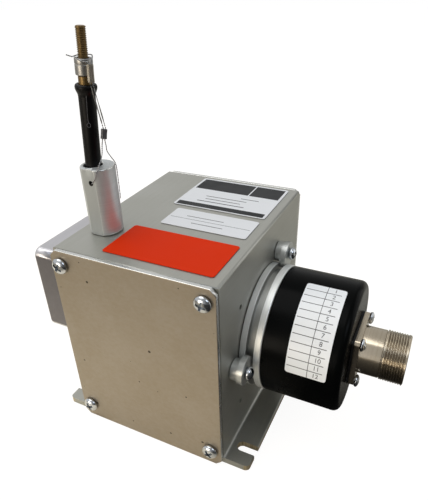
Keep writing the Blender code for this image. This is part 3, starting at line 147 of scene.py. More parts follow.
# %% Helpers for finishes
def finish(name, colour, roughness, metallic=0.0):
    """A Principled material, its tree, its shader and its Object coordinates."""
    made = bpy.data.materials.new(name)
    made.use_nodes = True
    tree = made.node_tree
    shader = tree.nodes["Principled BSDF"]
    shader.inputs["Base Color"].default_value = srgb(colour)
    shader.inputs["Roughness"].default_value = roughness
    shader.inputs["Metallic"].default_value = metallic
    return made, tree, shader, node(tree, "ShaderNodeTexCoord").outputs["Object"]


def over(made, mask, colour):
    """Lays one more colour over what the material has, as far as the mask lets it."""
    target = made.node_tree.nodes["Principled BSDF"].inputs["Base Color"]
    below = target.links[0].from_socket if target.is_linked else target.default_value[:]
    mixed = {0: mask, 6: below, 7: srgb(colour)}
    node(made.node_tree, "ShaderNodeMix", mixed, to=target, out=2, data_type="RGBA")


def sway(made, noise, span, gloss):
    """Lets a noise move the roughness between two values, over the span that the noise has."""
    target = made.node_tree.nodes["Principled BSDF"].inputs["Roughness"]
    limits = {0: noise, 1: span[0], 2: span[1], 3: gloss[0], 4: gloss[1]}
    node(made.node_tree, "ShaderNodeMapRange", limits, to=target)


def weather(made, noise, spans, gloss, bumps, strength, relief, shade_to):
    """One noise sways gloss and colour, and the bumps raise the surface by the relief, in mm."""
    tree = made.node_tree
    sway(made, noise, spans[0], gloss)
    raised = {"Height": bumps, "Strength": strength, "Distance": relief * MM}
    node(tree, "ShaderNodeBump", raised, to=tree.nodes["Principled BSDF"].inputs["Normal"])
    over(made, node(tree, "ShaderNodeMapRange", {0: noise, 1: spans[1][0], 2: spans[1][1]}), shade_to)


print("finish helpers ready")

# %% [markdown]
# ## The studio
# The photograph is lit softly from above and from the left, and the right wall turns away into a
# darker room. Real rooms could be used as an image, but a few sums on the direction give the same
# soft steps: paper white for the camera, and for reflections a room that is bright above and on the
# left and dimmer on the right.

# %% World
world = bpy.data.worlds.new("studio")
world.use_nodes = True
bpy.context.scene.world = world
room = world.node_tree
room.nodes.clear()
view = node(room, "ShaderNodeTexCoord").outputs["Generated"]
toward = node(room, "ShaderNodeSeparateXYZ", {0: view}).outputs
ray = node(room, "ShaderNodeLightPath").outputs
known = {
    "side": node(room, "ShaderNodeMapRange", {0: toward[0], 1: -0.3, 2: 0.6, 3: 0.72, 4: 0.12}),
    "above": node(room, "ShaderNodeMapRange", {0: toward[2], 1: 0.25, 2: 0.9, 3: 0.0, 4: 0.5}),
    "to camera": ray["Is Camera Ray"], "through glass": ray["Is Transmission Ray"],
}
work_out(room, known, (
    ("level", "MAXIMUM", "side", "above"), ("seen", "MAXIMUM", "to camera", "through glass"),
))
strength = node(room, "ShaderNodeMix", {0: known["seen"], 2: known["level"], 3: 1.0}, data_type="FLOAT")
background = node(room, "ShaderNodeBackground", {"Color": (1, 1, 1, 1), "Strength": strength})
node(room, "ShaderNodeOutputWorld", {"Surface": background})
print("world nodes:", len(room.nodes))

# %% [markdown]
# ## The floor
# The object stands on a pale painted table that keeps its shadow. Metal mirrors the table's lit and
# shaded places. Cards could be set up for that, but it is enough to let the colour that glossy rays
# meet go by place: dull far in front, bright close by, grey behind, dark at the front right.

# %% Floor
FLOOR_HALF = 3.0
floor_mesh = bpy.data.meshes.new("floor")
floor_corners = [(x * FLOOR_HALF, y * FLOOR_HALF, 0) for x, y in ((-1, -1), (1, -1), (1, 1), (-1, 1))]
floor_mesh.from_pydata(floor_corners, [], [(0, 1, 2, 3)])
floor = linked("floor", floor_mesh)
floor.location = (0, 0, -0.2 * MM)
TABLE_PAINT = "#E3DBCC"
table, tree, shader, coords = finish("painted_table", TABLE_PAINT, 0.7)
path = node(tree, "ShaderNodeLightPath").outputs
place = node(tree, "ShaderNodeSeparateXYZ", {0: coords}).outputs
# Each zone by its axis, where it starts and where it is full, in metres.
ZONES = {
    "right": (0, 0.03, 0.06), "front": (1, 0.06, 0), "close": (1, -0.2, -0.09), "behind": (1, -0.02, 0.05),
}
known = {}
for zone, (axis, start, end) in ZONES.items():
    known[zone] = node(tree, "ShaderNodeMapRange", {0: place[axis], 1: start, 2: end, 3: 0.0, 4: 1.0})
known["metal sees"] = path["Is Glossy Ray"]
known["camera sees"] = path["Is Camera Ray"]
work_out(tree, known, (("dim", "MULTIPLY", "right", "front"), ("faint", "MULTIPLY", "camera sees", 0.77)))
met = srgb("#8F887B")
for zone, colour in (("close", "#FFF6E2"), ("behind", "#B4B2A8"), ("dim", "#17140F")):
    met = node(tree, "ShaderNodeMix", {0: known[zone], 6: met, 7: srgb(colour)}, data_type="RGBA").outputs[2]
seen = {0: known["metal sees"], 6: srgb(TABLE_PAINT), 7: met}
node(tree, "ShaderNodeMix", seen, to=shader.inputs["Base Color"], out=2, data_type="RGBA")
glow = node(tree, "ShaderNodeEmission", {"Color": (1, 1, 1, 1), "Strength": 1.2})
surface = tree.nodes["Material Output"].inputs["Surface"]
node(tree, "ShaderNodeMixShader", {0: known["faint"], 1: shader, 2: glow}, to=surface)
floor_mesh.materials.append(table)
print("floor nodes:", len(tree.nodes))

# %% [markdown]
# ## Lamps
# Four soft square lamps stand where the photograph's light comes from. They are weak, so that a
# colour renders about as it is written, and large for their distance, so that shadows stay soft.

# %% Lamps
# Each by its name, place, aim, width in metres, power in watts and colour.
LAMPS = (
    ("overhead", (-0.3, -0.1, 0.9), (0, 0, 0.05), 0.7, 3.2, "#FFFFFF"),
    ("right_fill", (0.5, 0.35, 0.25), (0.05, 0, 0.03), 0.5, 0.8, "#FFFFFF"),
    ("right_high", (0.55, -0.2, 0.6), (0.04, -0.04, 0), 0.3, 0.8, "#E4EEFF"),
    ("front_low", (-0.3, -0.85, 0.12), (0, 0, 0.03), 0.45, 3.2, "#FFF1DC"),
)
for lamp_name, place, aim, size, power, colour in LAMPS:
    light = bpy.data.lights.new(lamp_name, "AREA")
    light.shape = "SQUARE"
    light.size, light.energy, light.color = size, power, srgb(colour)[:3]
    lamp = linked(lamp_name, light)
    lamp.location = place
    lamp.rotation_euler = (Vector(aim) - Vector(place)).to_track_quat("-Z", "Y").to_euler()
print("lamps:", [row[0] for row in LAMPS])

# %% [markdown]
# ## Making solid pieces
# Most of the visible parts are turned on a lathe, cut from plate or bent from wire. They could be
# modelled by hand, but a helper for each way of making keeps sizes in numbers. Every piece ends in
# the same way: smooth shading that stops at sharp edges, and normals weighed by face area, so flats
# look flat up to their eased edges. Its place is put into the mesh, as with the CAD pieces.

# %% Pieces
SMOOTH_ANGLE = math.radians(60)


def plain(obj):
    """The mesh that the object's modifiers make."""
    bpy.context.view_layer.update()
    graph = bpy.context.evaluated_depsgraph_get()
    return bpy.data.meshes.new_from_object(obj.evaluated_get(graph), depsgraph=graph)


def piece(name, mesh, material=None, matrix=None):
    """A linked object. Flats keep flat shading up to their eased edges, where the light turns."""
    if matrix is not None:
        mesh.transform(matrix)
    mesh.shade_smooth()
    mesh.set_sharp_from_angle(angle=SMOOTH_ANGLE)
    if material is not None:
        mesh.materials.clear()
        mesh.materials.append(material)
    obj = linked(name, mesh)
    weigh = obj.modifiers.new("by face area", "WEIGHTED_NORMAL")
    weigh.keep_sharp = True
    weighed = plain(obj)
    obj.modifiers.remove(weigh)
    obj.data = weighed
    return obj


def meshed(name, bm, material=None, matrix=None, outward=True):
    """Ends a bmesh as a piece."""
    if outward:
        bmesh.ops.recalc_face_normals(bm, faces=bm.faces)
    mesh = bpy.data.meshes.new(name)
    bm.to_mesh(mesh)
    bm.free()
    return piece(name, mesh, material, matrix)


print("edges are sharp from", round(math.degrees(SMOOTH_ANGLE)), "degrees")

# %% [markdown]
# ## Turning
# A lathe turns one outline about an axis. Spin or Screw could do it, but a few loops also put a
# small rounding at every corner: a real edge is never quite sharp, and its thin highlight is what
# makes metal look real.


# %% Lathe
def eased(outline, ease):
    """The outline with each corner off the axis replaced by a small round."""
    points = [Vector(p) for p in outline]
    result = []
    for i, point in enumerate(points):
        if point.x < 1e-7:
            result.append(point)
            continue
        back, ahead = points[i - 1] - point, points[(i + 1) % len(points)] - point
        reach = min(ease, 0.45 * back.length, 0.45 * ahead.length)
        first, last = point + back.normalized() * reach, point + ahead.normalized() * reach
        result += [first, 0.25 * first + 0.5 * point + 0.25 * last, last]
    return result


def lathe(name, outline, material=None, matrix=None, ease=0.15 * MM, sides=96, shift=None):
    """Turns a closed (radius, height) outline about Z; shift may move a point by its angle and height."""
    bm = bmesh.new()
    rings = []
    for radius, height in eased(outline, ease) if ease else outline:
        if radius < 1e-7:
            rings.append([bm.verts.new((0, 0, height))])
            continue
        ring = []
        for i in range(sides):
            angle = math.tau * i / sides
            r = radius + (shift(angle, radius, height) if shift else 0)
            ring.append(bm.verts.new((r * math.cos(angle), r * math.sin(angle), height)))
        rings.append(ring)
    for a, b in zip(rings, rings[1:] + rings[:1]):
        for i in range(sides):
            j = (i + 1) % sides
            corners = dict.fromkeys((a[i % len(a)], a[j % len(a)], b[j % len(b)], b[i % len(b)]))
            if len(corners) > 2:
                bm.faces.new(corners)
    return meshed(name, bm, material, matrix)


print("an eased square has", len(eased([(1, 0), (2, 0), (2, 1), (1, 1)], 0.1)), "points")

# %% [markdown]
# ## Cutting plate
# A plate is a flat outline with holes, given a thickness. Outlines could be drawn by hand, but three
# small functions give rounded corners, rectangles and circles with their sizes in numbers.


# %% Flat outlines
def rounded(corners, steps=8):
    """A flat outline from (x, y, radius) corners."""
    outline = []
    for i, (x, y, radius) in enumerate(corners):
        corner = Vector((x, y))
        back = (Vector(corners[i - 1][:2]) - corner).normalized()
        ahead = (Vector(corners[(i + 1) % len(corners)][:2]) - corner).normalized()
        if radius == 0:
            outline.append(corner)
            continue
        half = back.angle(ahead) / 2
        centre = corner + (back + ahead).normalized() * radius / math.sin(half)
        first = corner + back * radius / math.tan(half) - centre
        swing = first.angle_signed(corner + ahead * radius / math.tan(half) - centre)
        outline += [centre + Matrix.Rotation(-swing * s / steps, 2) @ first for s in range(steps + 1)]
    return outline


def rectangle(width, height, radius, steps=8):
    x, y = width / 2, height / 2
    return rounded([(-x, -y, radius), (x, -y, radius), (x, y, radius), (-x, y, radius)], steps)


def circle(x, y, radius, count=32):
    turns = [math.tau * (i + 0.25) / count for i in range(count)]
    return [Vector((x + radius * math.cos(a), y + radius * math.sin(a))) for a in turns]


print("a rounded square has", len(rectangle(1, 1, 0.1)), "points")

# %% [markdown]
# ## Plate from an outline
# A flat curve fills an outline by itself, holes and all, which saves a boolean for every hole. Its
# edges are then eased by a bevel, because a real plate has no sharp ones.

# %% Plate
SHARP_EDGE = math.radians(50)


def bake(obj):
    """Turns what the modifiers make into a plain mesh."""
    mesh, matrix, name = plain(obj), obj.matrix_world.copy(), obj.name
    bpy.data.objects.remove(obj, do_unlink=True)
    return piece(name, mesh, None, matrix)


def plate(name, outlines, thickness, material=None, matrix=None, ease=0.0, segments=2):
    """A flat sheet from its outline and holes, even about z = 0, with its edges eased."""
    curve = bpy.data.curves.new(name, "CURVE")
    curve.dimensions = "2D"
    curve.fill_mode = "BOTH"
    curve.extrude = thickness / 2
    for points in outlines:
        spline = curve.splines.new("POLY")
        spline.points.add(len(points) - 1)
        for target, (x, y) in zip(spline.points, points):
            target.co = (x, y, 0, 1)
        spline.use_cyclic_u = True
    sheet = bake(linked(name, curve))
    bm = bmesh.new()
    bm.from_mesh(sheet.data)
    bpy.data.objects.remove(sheet, do_unlink=True)
    bmesh.ops.remove_doubles(bm, verts=bm.verts, dist=1e-6)
    bmesh.ops.recalc_face_normals(bm, faces=bm.faces)
    if ease:
        sharp = [e for e in bm.edges if e.is_manifold and e.calc_face_angle() > SHARP_EDGE]
        bmesh.ops.bevel(
            bm, geom=sharp, offset=ease, segments=segments, profile=0.5, affect="EDGES", clamp_overlap=True
        )
    return meshed(name, bm, material, matrix, outward=False)


print("plates are eased where an edge is sharper than", round(math.degrees(SHARP_EDGE)), "degrees")

# %% [markdown]
# ## Bending wire
# A wire is a flat section carried along a path. A bevelled curve could do it, but the twisted wires
# here also turn their section as they go, and the ferrules swell, so a small sweep is clearer.


# %% Sweep
def sweep(name, path, section, material=None, turn=0.0, size=None):
    """Carries a flat section along a path; turn is radians for each metre, size scales it by place."""
    bm = bmesh.new()
    rings, travelled, side_way = [], 0.0, None
    for i, point in enumerate(path):
        along = (path[min(i + 1, len(path) - 1)] - path[max(i - 1, 0)]).normalized()
        if side_way is None:
            side_way = along.orthogonal().normalized() if turn or size is None else Vector(size["across"])
        side_way = (side_way - along * side_way.dot(along)).normalized()
        other = along.cross(side_way)
        if i:
            travelled += (point - path[i - 1]).length
        spin = Matrix.Rotation(turn * travelled, 2)
        scale = size["at"](i / (len(path) - 1)) if size else 1.0
        ring = []
        for flat in section:
            x, y = spin @ Vector(flat)
            ring.append(bm.verts.new(point + (side_way * x + other * y) * scale))
        rings.append(ring)
    for a, b in zip(rings, rings[1:]):
        for i in range(len(section)):
            j = (i + 1) % len(section)
            bm.faces.new((a[i], a[j], b[j], b[i]))
    bm.faces.new(rings[0][::-1])
    bm.faces.new(rings[-1])
    return meshed(name, bm, material)


print("three ways of making are ready: lathe, plate and sweep")

# %% [markdown]
# ## Geometry Nodes from a script
# Pieces that repeat or follow a rule are grown by Geometry Nodes. Each tree has named inputs, so its
# sizes are given once, and its result is baked into a plain mesh, because the export needs one.


# %% Tree helpers
def tree_with(name, sizes, counts=()):
    """A Geometry Nodes tree with named inputs, a material and a geometry input."""
    tree = bpy.data.node_groups.new(name, "GeometryNodeTree")
    wanted = [("Geometry", "Geometry"), *((s, "Float") for s in sizes), *((c, "Int") for c in counts)]
    for socket_name, kind in (*wanted, ("Material", "Material")):
        tree.interface.new_socket(socket_name, in_out="INPUT", socket_type="NodeSocket" + kind)
    tree.interface.new_socket("Geometry", in_out="OUTPUT", socket_type="NodeSocketGeometry")
    return tree, {socket.name: socket for socket in node(tree, "NodeGroupInput").outputs}


def end_tree(tree, known, geometry):
    """Makes instances real, sets the material and hands the geometry out."""
    real = node(tree, "GeometryNodeRealizeInstances", {0: geometry})
    given_out = node(tree, "NodeGroupOutput").inputs[0]
    node(tree, "GeometryNodeSetMaterial", {"Geometry": real, "Material": known["Material"]}, to=given_out)
    print(tree.name, "has", len(tree.nodes), "nodes")


def grow(obj, tree, values):
    """Runs the tree on the object with values by input name, and bakes the result."""
    modifier = obj.modifiers.new(tree.name, "NODES")
    modifier.node_group = tree
    for item in tree.interface.items_tree:
        if item.item_type == "SOCKET" and item.in_out == "INPUT" and item.name in values:
            modifier[item.identifier] = values[item.name]
    return bake(obj)


def seed(name):
    """An object with one point, for a tree that makes its own geometry."""
    mesh = bpy.data.meshes.new(name)
    mesh.from_pydata([(0, 0, 0)], [], [])
    return linked(name, mesh)


def outward(obj, matrix):
    """Turns the faces outward and puts the shape in its place."""
    bm = bmesh.new()
    bm.from_mesh(obj.data)
    bmesh.ops.recalc_face_normals(bm, faces=bm.faces)
    bm.to_mesh(obj.data)
    bm.free()
    obj.data.transform(matrix)
    return obj


print("tree helpers ready")

# %% [markdown]
# ## Drawn, rolled and milled metal
# The body is extruded aluminium with a satin anodised skin: pressed through a die along its length,
# so very fine lines run from front to back. The cover plates are cut from rolled sheet, with dirt
# dots from years of use. A metal keeps a plain colour and gets its life from roughness and bump, so
# each finish is one stretched noise. Scratches could be modelled, but they are far too fine.

# %% Marks one way
# One dirt dot in a cell of 14 mm, and only in some of the cells.
DIRT_CELLS = 70.0


def drawn(name, colour, roughness, metallic, stretch, swing, relief, shade_to, speck=None):
    """A metal with marks from a noise stretched one way, per metre; speck is a dirt dot's radius in mm."""
    made, tree, shader, coords = finish(name, colour, roughness, metallic)
    mapped = node(tree, "ShaderNodeMapping", {"Vector": coords, "Scale": stretch})
    fine = {"Vector": mapped, "Scale": 1.0, "Detail": 4.0, "Roughness": 0.6}
    marks = node(tree, "ShaderNodeTexNoise", fine)
    cloud = node(tree, "ShaderNodeTexNoise", {"Vector": coords, "Scale": 45.0, "Detail": 3.0})
    both = node(tree, "ShaderNodeMath", {0: marks, 1: cloud}, operation="ADD")
    gloss = (roughness - swing, roughness + swing)
    weather(made, both, ((0.7, 1.3), (0.75, 1.25)), gloss, marks, 0.5, relief, shade_to)
    if speck:
        apart = node(tree, "ShaderNodeSeparateXYZ", {0: coords}).outputs
        known = work_out(tree, {"x": apart[0], "z": apart[2]}, (("on plate", "COMBINE", "x", "z"),))
        flat = {"Vector": known["on plate"], "Scale": DIRT_CELLS}
        cells = node(tree, "ShaderNodeTexVoronoi", flat, voronoi_dimensions="2D").outputs
        chance = node(tree, "ShaderNodeSeparateColor", {0: cells["Color"]}).outputs
        known = {"away": cells["Distance"], "size": chance[1], "luck": chance[0]}
        work_out(tree, known, (
            ("reach", "MULTIPLY", "size", 1.8 * speck * MM * DIRT_CELLS),
            ("near", "LESS_THAN", "away", "reach"),
            ("some", "GREATER_THAN", "luck", 0.4), ("dirt", "MULTIPLY", "near", "some"),
        ))
        over(made, known["dirt"], "#4A4136")
    return made


print("dirt cells are", round(1000 / DIRT_CELLS, 1), "mm wide")

# %% [markdown]
# ## Aluminium, zinc and steel
# These metals differ in tone, gloss and marks. One material could be copied and recoloured, but a
# call for each keeps what is special about it in sight. The numbers of a call are its roughness, its
# metallic value, its marks per metre along X, Y and Z, the sway of its gloss and its relief in mm.

# %% Drawn, rolled and milled finishes
# Satin grey with soft lines; 0.1 mm apart on an extrusion, drawn here at 0.4 mm, so that they show.
EXTRUDED = drawn("extruded_aluminium", "#AEAEA7", 0.36, 0.75, (2500, 40, 2500), 0.04, 0.006, "#A8A8A0")
# Fine marks in all directions give sheet its dull sheen, and its warm tone is a painted reflection of the
# warm table.
SHEET = drawn("rolled_aluminium_sheet", "#A19788", 0.42, 0.7, (500, 900, 700), 0.03, 0.002, "#9B907E", 0.42)
# Folded sheet is brighter and cooler, and a darker copy on the faces that look forward and back is painted
# shade.
FOLDED = drawn("folded_aluminium_sheet", "#CAC9CC", 0.34, 0.9, (300, 60, 300), 0.03, 0.002, "#C2C1C4")
FOLDED_SHADED_FACES = drawn(
    "folded_aluminium_sheet_painted_shade", "#7C7A7E", 0.36, 0.9, (300, 60, 300), 0.03, 0.002, "#757377"
)
# A sawn edge is bare and brighter than the plate's skin, and its colour adds a painted highlight, a thin line
# of light; on the guide's rims it is a painted highlight only.
CUT_EDGE_AND_HIGHLIGHT = drawn("machined_edge_and_painted_highlight", "#DEDFDC", 0.26, 0.9, (300, 300, 300), 0.03, 0.001, "#D2D3D0")
# An end mill leaves upright steps of 0.4 mm on cut edges; drawn at 0.8 mm, so that they show.
MILLED = drawn("milled_aluminium", "#D8CBAC", 0.42, 0.8, (1300, 1300, 40), 0.08, 0.12, "#8A7B5E")
# Drawn steel wire glitters a little, with dark places between its strands.
WINDING_STEEL = drawn(
    "drawn_stainless_wire", "#BDBEBF", 0.3, 0.95, (1800, 1800, 1800), 0.08, 0.03, "#77787A"
)
# Bright zinc mirrors the room with a bluish tone.
ZINC = drawn("bright_zinc_plating", "#D2D6DA", 0.15, 1.0, (900, 900, 900), 0.04, 0.004, "#C0C4C8")
# Small turned clamps are matt, so their shape shows more than what they mirror.
CLAMP_METAL = drawn(
    "turned_aluminium_clamp", "#C6C8C5", 0.34, 0.75, (300, 300, 300), 0.02, 0.001, "#BBBDBA"
)
# The flange's groove is painted darker than the rings beside it: painted shade in the deep groove.
GROOVE_SHADE = drawn("turned_groove_painted_shade", "#B4B5B1", 0.4, 0.85, (2200, 40, 40), 0.03, 0.002, "#A2A39F")
# A handled steel ring has lost its shine.
DULL_STEEL = drawn("dull_steel_ring", "#A8A7A6", 0.36, 0.9, (1500, 1500, 200), 0.06, 0.01, "#94938F")
# A clamping tool leaves fine lines along a ferrule; the lower one has darkened.
CRIMP_GREY = drawn("pressed_steel_ferrule", "#C2BCB0", 0.36, 0.85, (2600, 2600, 150), 0.08, 0.03, "#9C968A")
CRIMP_DARK = drawn("oxidised_steel_ferrule", "#737478", 0.42, 0.8, (2600, 2600, 150), 0.08, 0.03, "#5C5D61")
print("drawn metals:", [m.name for m in (EXTRUDED, SHEET, FOLDED, MILLED, ZINC, DULL_STEEL, CRIMP_GREY)])

# %% [markdown]
# ## Turned metal
# A lathe tool leaves rings round the axis. Anisotropy could imitate them, but it would need tangents
# on every piece. A noise that is read by radius and height alone is round by itself. Dirt collects
# in a thread, and the thread's tree writes down where its roots are.


# %% Metals with rings
def with_grime(made, grime):
    """Darkens the roots of a thread, where its mesh carries the attribute root."""
    over(made, node(made.node_tree, "ShaderNodeAttribute", attribute_name="root").outputs["Fac"], grime)


def turned_metal(name, colour, roughness, centre, along, relief, shade_to, metallic=1.0):
    """A turned metal: rings round an axis, from a noise read by radius and height."""
    made, tree, shader, coords = finish(name, colour, roughness, metallic)
    centred = node(tree, "ShaderNodeVectorMath", {0: coords, 1: centre}, operation="SUBTRACT")
    split = list(node(tree, "ShaderNodeSeparateXYZ", {0: centred}).outputs)
    height = split.pop("XYZ".index(along))
    known = work_out(tree, {"a": split[0], "b": split[1], "height": height}, (
        ("aa", "MULTIPLY", "a", "a"), ("bb", "MULTIPLY", "b", "b"), ("sum", "ADD", "aa", "bb"),
        ("radius", "SQRT", "sum"), ("place", "COMBINE", "radius", "height"),
    ))
    rings = node(tree, "ShaderNodeTexNoise", {"Vector": known["place"], "Scale": 2200.0, "Detail": 2.0})
    cloud = node(tree, "ShaderNodeTexNoise", {"Vector": coords, "Scale": 60.0, "Detail": 1.0})
    both = node(tree, "ShaderNodeMath", {0: rings, 1: cloud}, operation="ADD")
    gloss = (roughness - 0.04, roughness + 0.04)
    weather(made, both, ((0.7, 1.3), (0.75, 1.25)), gloss, rings, 0.5, relief, shade_to)
    return made


AXIS_Y, AXIS_Z = -0.8 * MM, 46.6 * MM
OUTLET_X, WIRE_X, WIRE_Y, TOP = -25.9 * MM, -28.1 * MM, -24.673 * MM, 94 * MM
ENCODER_CENTRE = (0, AXIS_Y, AXIS_Z)
GUIDE_CENTRE = (OUTLET_X, WIRE_Y, 0)
# Feed marks of a lathe are about 0.1 mm apart; drawn here at 0.45 mm, so that they show. They make
# the flange and the guide satin, each with one soft highlight.
TURNED_ENCODER = turned_metal(
    "turned_aluminium_flange", "#E6E8E5", 0.4, ENCODER_CENTRE, "X", 0.002, "#D6D8D5", 0.6
)
TURNED_GUIDE = turned_metal(
    "turned_aluminium_guide", "#CACECE", 0.46, GUIDE_CENTRE, "Z", 0.002, "#C0C4C4", 0.7
)
# The guide's milled flat is a little darker, with marks along it.
GUIDE_FLAT = drawn("milled_guide_flat", "#AEB3B4", 0.44, 0.75, (300, 300, 60), 0.03, 0.002, "#A5AAAB")
# Nickel is a warm mirror with brown dirt in its thread.
NICKEL = turned_metal("bright_nickel_plating", "#CFC4B1", 0.17, ENCODER_CENTRE, "X", 0.0004, "#BCB09B")
with_grime(NICKEL, "#3A3222")
print("turned metals:", [m.name for m in (TURNED_ENCODER, TURNED_GUIDE, NICKEL)])

# %% [markdown]
# ## Paint, powder coat, rubber, plastic and foil
# The encoder's cover is powder coated: a thick soft black skin with a fine orange-peel surface.
# Rubber is darker still and drinks light. Foils are smooth and slightly glossy. All of them are one
# skin with beads of a real size, so one function makes them, and the small metal pieces inside too.


# %% Coatings and soft materials
def coated(name, colour, roughness, bead, relief, metallic=0.0, shade_to=None, sheen=0.5):
    """A skin with beads of one real size, in mm, and a little cloud in its gloss."""
    made, tree, shader, coords = finish(name, colour, roughness, metallic)
    shader.inputs["Specular IOR Level"].default_value = sheen
    beads = node(tree, "ShaderNodeTexNoise", {"Vector": coords, "Scale": 1 / (bead * MM), "Detail": 2.0})
    cloud = node(tree, "ShaderNodeTexNoise", {"Vector": coords, "Scale": 60.0, "Detail": 4.0})
    gloss = (roughness - 0.06, roughness + 0.06)
    weather(made, cloud, ((0.3, 0.7), (0, 1)), gloss, beads, 0.6, relief, shade_to or colour)
    return made


# Orange peel has waves of 0.3 to 0.6 mm, which break up what the black mirrors.
BLACK_COAT = coated("soft_black_powder_coat", "#030404", 0.25, 0.6, 0.035, shade_to="#060707", sheen=0.04)
# Matt paint scatters light, so the spring case's lid looks flat and soft.
GREY_PAINT = coated("matt_grey_paint", "#6B6965", 0.5, 0.6, 0.02, shade_to="#646260")
# Rubber shows almost no highlight, and its skin is uneven.
RUBBER = coated("black_rubber_sleeve", "#030303", 0.36, 0.5, 0.06, shade_to="#060607", sheen=0.18)
# The guide's cross hole has its walls painted nearly black, as painted shade in the hole, with a faint gleam.
CROSS_HOLE_SHADE = coated("cross_hole_painted_shade", "#0B0A09", 0.4, 0.5, 0.01, shade_to="#12100E", sheen=0.2)
# The gasket's rubber is dry and dull: a dark line at the connector's foot.
GASKET_RUBBER = coated("black_rubber_gasket", "#101010", 0.65, 0.5, 0.02, shade_to="#171717")
# Glass-filled plastic is a dark grey with a dry gloss, and acetal is a waxy white.
CONTACT_PLASTIC = coated("black_glass_filled_plastic", "#17181A", 0.45, 0.4, 0.01, shade_to="#1D1E20")
GUIDE_PLASTIC = coated("white_acetal", "#D8D8D0", 0.35, 0.8, 0.01, shade_to="#CFCFC6")
# The red foil is strong and even, with hardly any shine.
RED_FOIL = coated("red_polyester_foil", "#CF2E03", 0.55, 1.2, 0.004, shade_to="#D22F03", sheen=0.06)
# Old brass is brown, and nearly black in its thread.
AGED_BRASS = coated("tarnished_brass", "#91794F", 0.36, 0.7, 0.01, metallic=0.85, shade_to="#6C5837")
with_grime(AGED_BRASS, "#2A2010")
# Inside, blued spring steel is blue-grey with a soft sheen, and ground bearing steel is bright.
SPRING_STEEL = coated("blued_spring_steel", "#54606E", 0.32, 0.9, 0.01, metallic=1.0, shade_to="#4A5058")
BEARING_STEEL = coated(
    "ground_bearing_steel", "#A9ACAF", 0.18, 0.7, 0.004, metallic=1.0, shade_to="#9DA0A3"
)
# Turned aluminium that no weather reaches is cleaner and shinier than the housing's skin.
INNER_ALUMINIUM = coated(
    "turned_aluminium_inside", "#B4B5B1", 0.3, 0.6, 0.01, metallic=1.0, shade_to="#A4A5A1"
)
# Lacquer gives a board its deep green and a soft gloss, and gold pins are warm points of light.
BOARD = coated("green_circuit_board", "#1E5A36", 0.45, 0.8, 0.01, shade_to="#1A4E30")
GOLD = coated("gold_plated_contact", "#C9A24A", 0.25, 0.5, 0.003, metallic=1.0, shade_to="#B8923E")
# The code disc is clear glass, with a faint cloud in its polish.
GLASS, tree, shader, coords = finish("code_disc_glass", "#C9D6D8", 0.05)
shader.inputs["Transmission Weight"].default_value = 0.8
shader.inputs["IOR"].default_value = 1.5
sway(GLASS, node(tree, "ShaderNodeTexNoise", {"Vector": coords, "Scale": 400.0}), (0, 1), (0.03, 0.1))
print("coatings:", [m.name for m in (BLACK_COAT, RUBBER, RED_FOIL, AGED_BRASS, SPRING_STEEL, GOLD, GLASS)])

# %% [markdown]
# ## Printed foil
# Three foils lie on the top wall, a red one and two white ones with dark bands and thin rules. An
# image could hold the bands, but boxes read from the place on the foil, in metres, stay sharp at
# any size.


# %% Bands on foil
def in_boxes(tree, x, y, boxes):
    """One where the place lies in any of the boxes, each (low x, high x, low y, high y)."""
    known = {"x": x, "y": y, "in any": 0.0}
    for x0, x1, y0, y1 in boxes:
        work_out(tree, known, (
            ("right of", "GREATER_THAN", "x", x0), ("left of", "LESS_THAN", "x", x1),
            ("above", "GREATER_THAN", "y", y0), ("below", "LESS_THAN", "y", y1),
            ("across", "MULTIPLY", "right of", "left of"), ("along", "MULTIPLY", "above", "below"),
            ("in box", "MULTIPLY", "across", "along"), ("in any", "MAXIMUM", "in any", "in box"),
        ))
    return known["in any"]


def foil_gloss(made, tree, coords, gloss):
    """The faint cloud in a foil's gloss."""
    cloud = node(tree, "ShaderNodeTexNoise", {"Vector": coords, "Scale": 90.0, "Detail": 3.0})
    sway(made, cloud, (0.3, 0.7), gloss)


def printed_foil(name, boxes):
    """A white foil, smooth but hardly shiny, with dark boxes printed on it."""
    made, tree, shader, coords = finish(name, "#D9DBDD", 0.4)
    shader.inputs["Specular IOR Level"].default_value = 0.2
    place = node(tree, "ShaderNodeSeparateXYZ", {0: coords}).outputs
    over(made, in_boxes(tree, place[0], place[1], boxes), "#1B1D1F")
    foil_gloss(made, tree, coords, (0.34, 0.46))
    return made


def on_foil(label_node, boxes):
    """Boxes in mm on a foil, as places in metres; below zero counts back from the far side."""
    low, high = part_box(label_node)
    return [[(high if v < 0 else low)[i // 2] + v * MM for i, v in enumerate(box)] for box in boxes]


print("a box on the small foil:", on_foil("small_label", [(8, 26, 10.2, 10.6)]))

# %% [markdown]
# ## The foils on the top wall
# Each foil is a thin sheet with rounded corners. A flat picture on the wall would do for the eye,
# but a plate as thick as the CAD solid keeps the foil's rim, which catches light.

# %% Three foils
def stand_for(obj, body, slot, *nodes):
    """Shows this piece in place of the CAD nodes, riding on their body."""
    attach(obj, body)
    if nodes:
        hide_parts(*nodes)
    print(obj.name, "has", len(obj.data.polygons), "faces")
    return obj


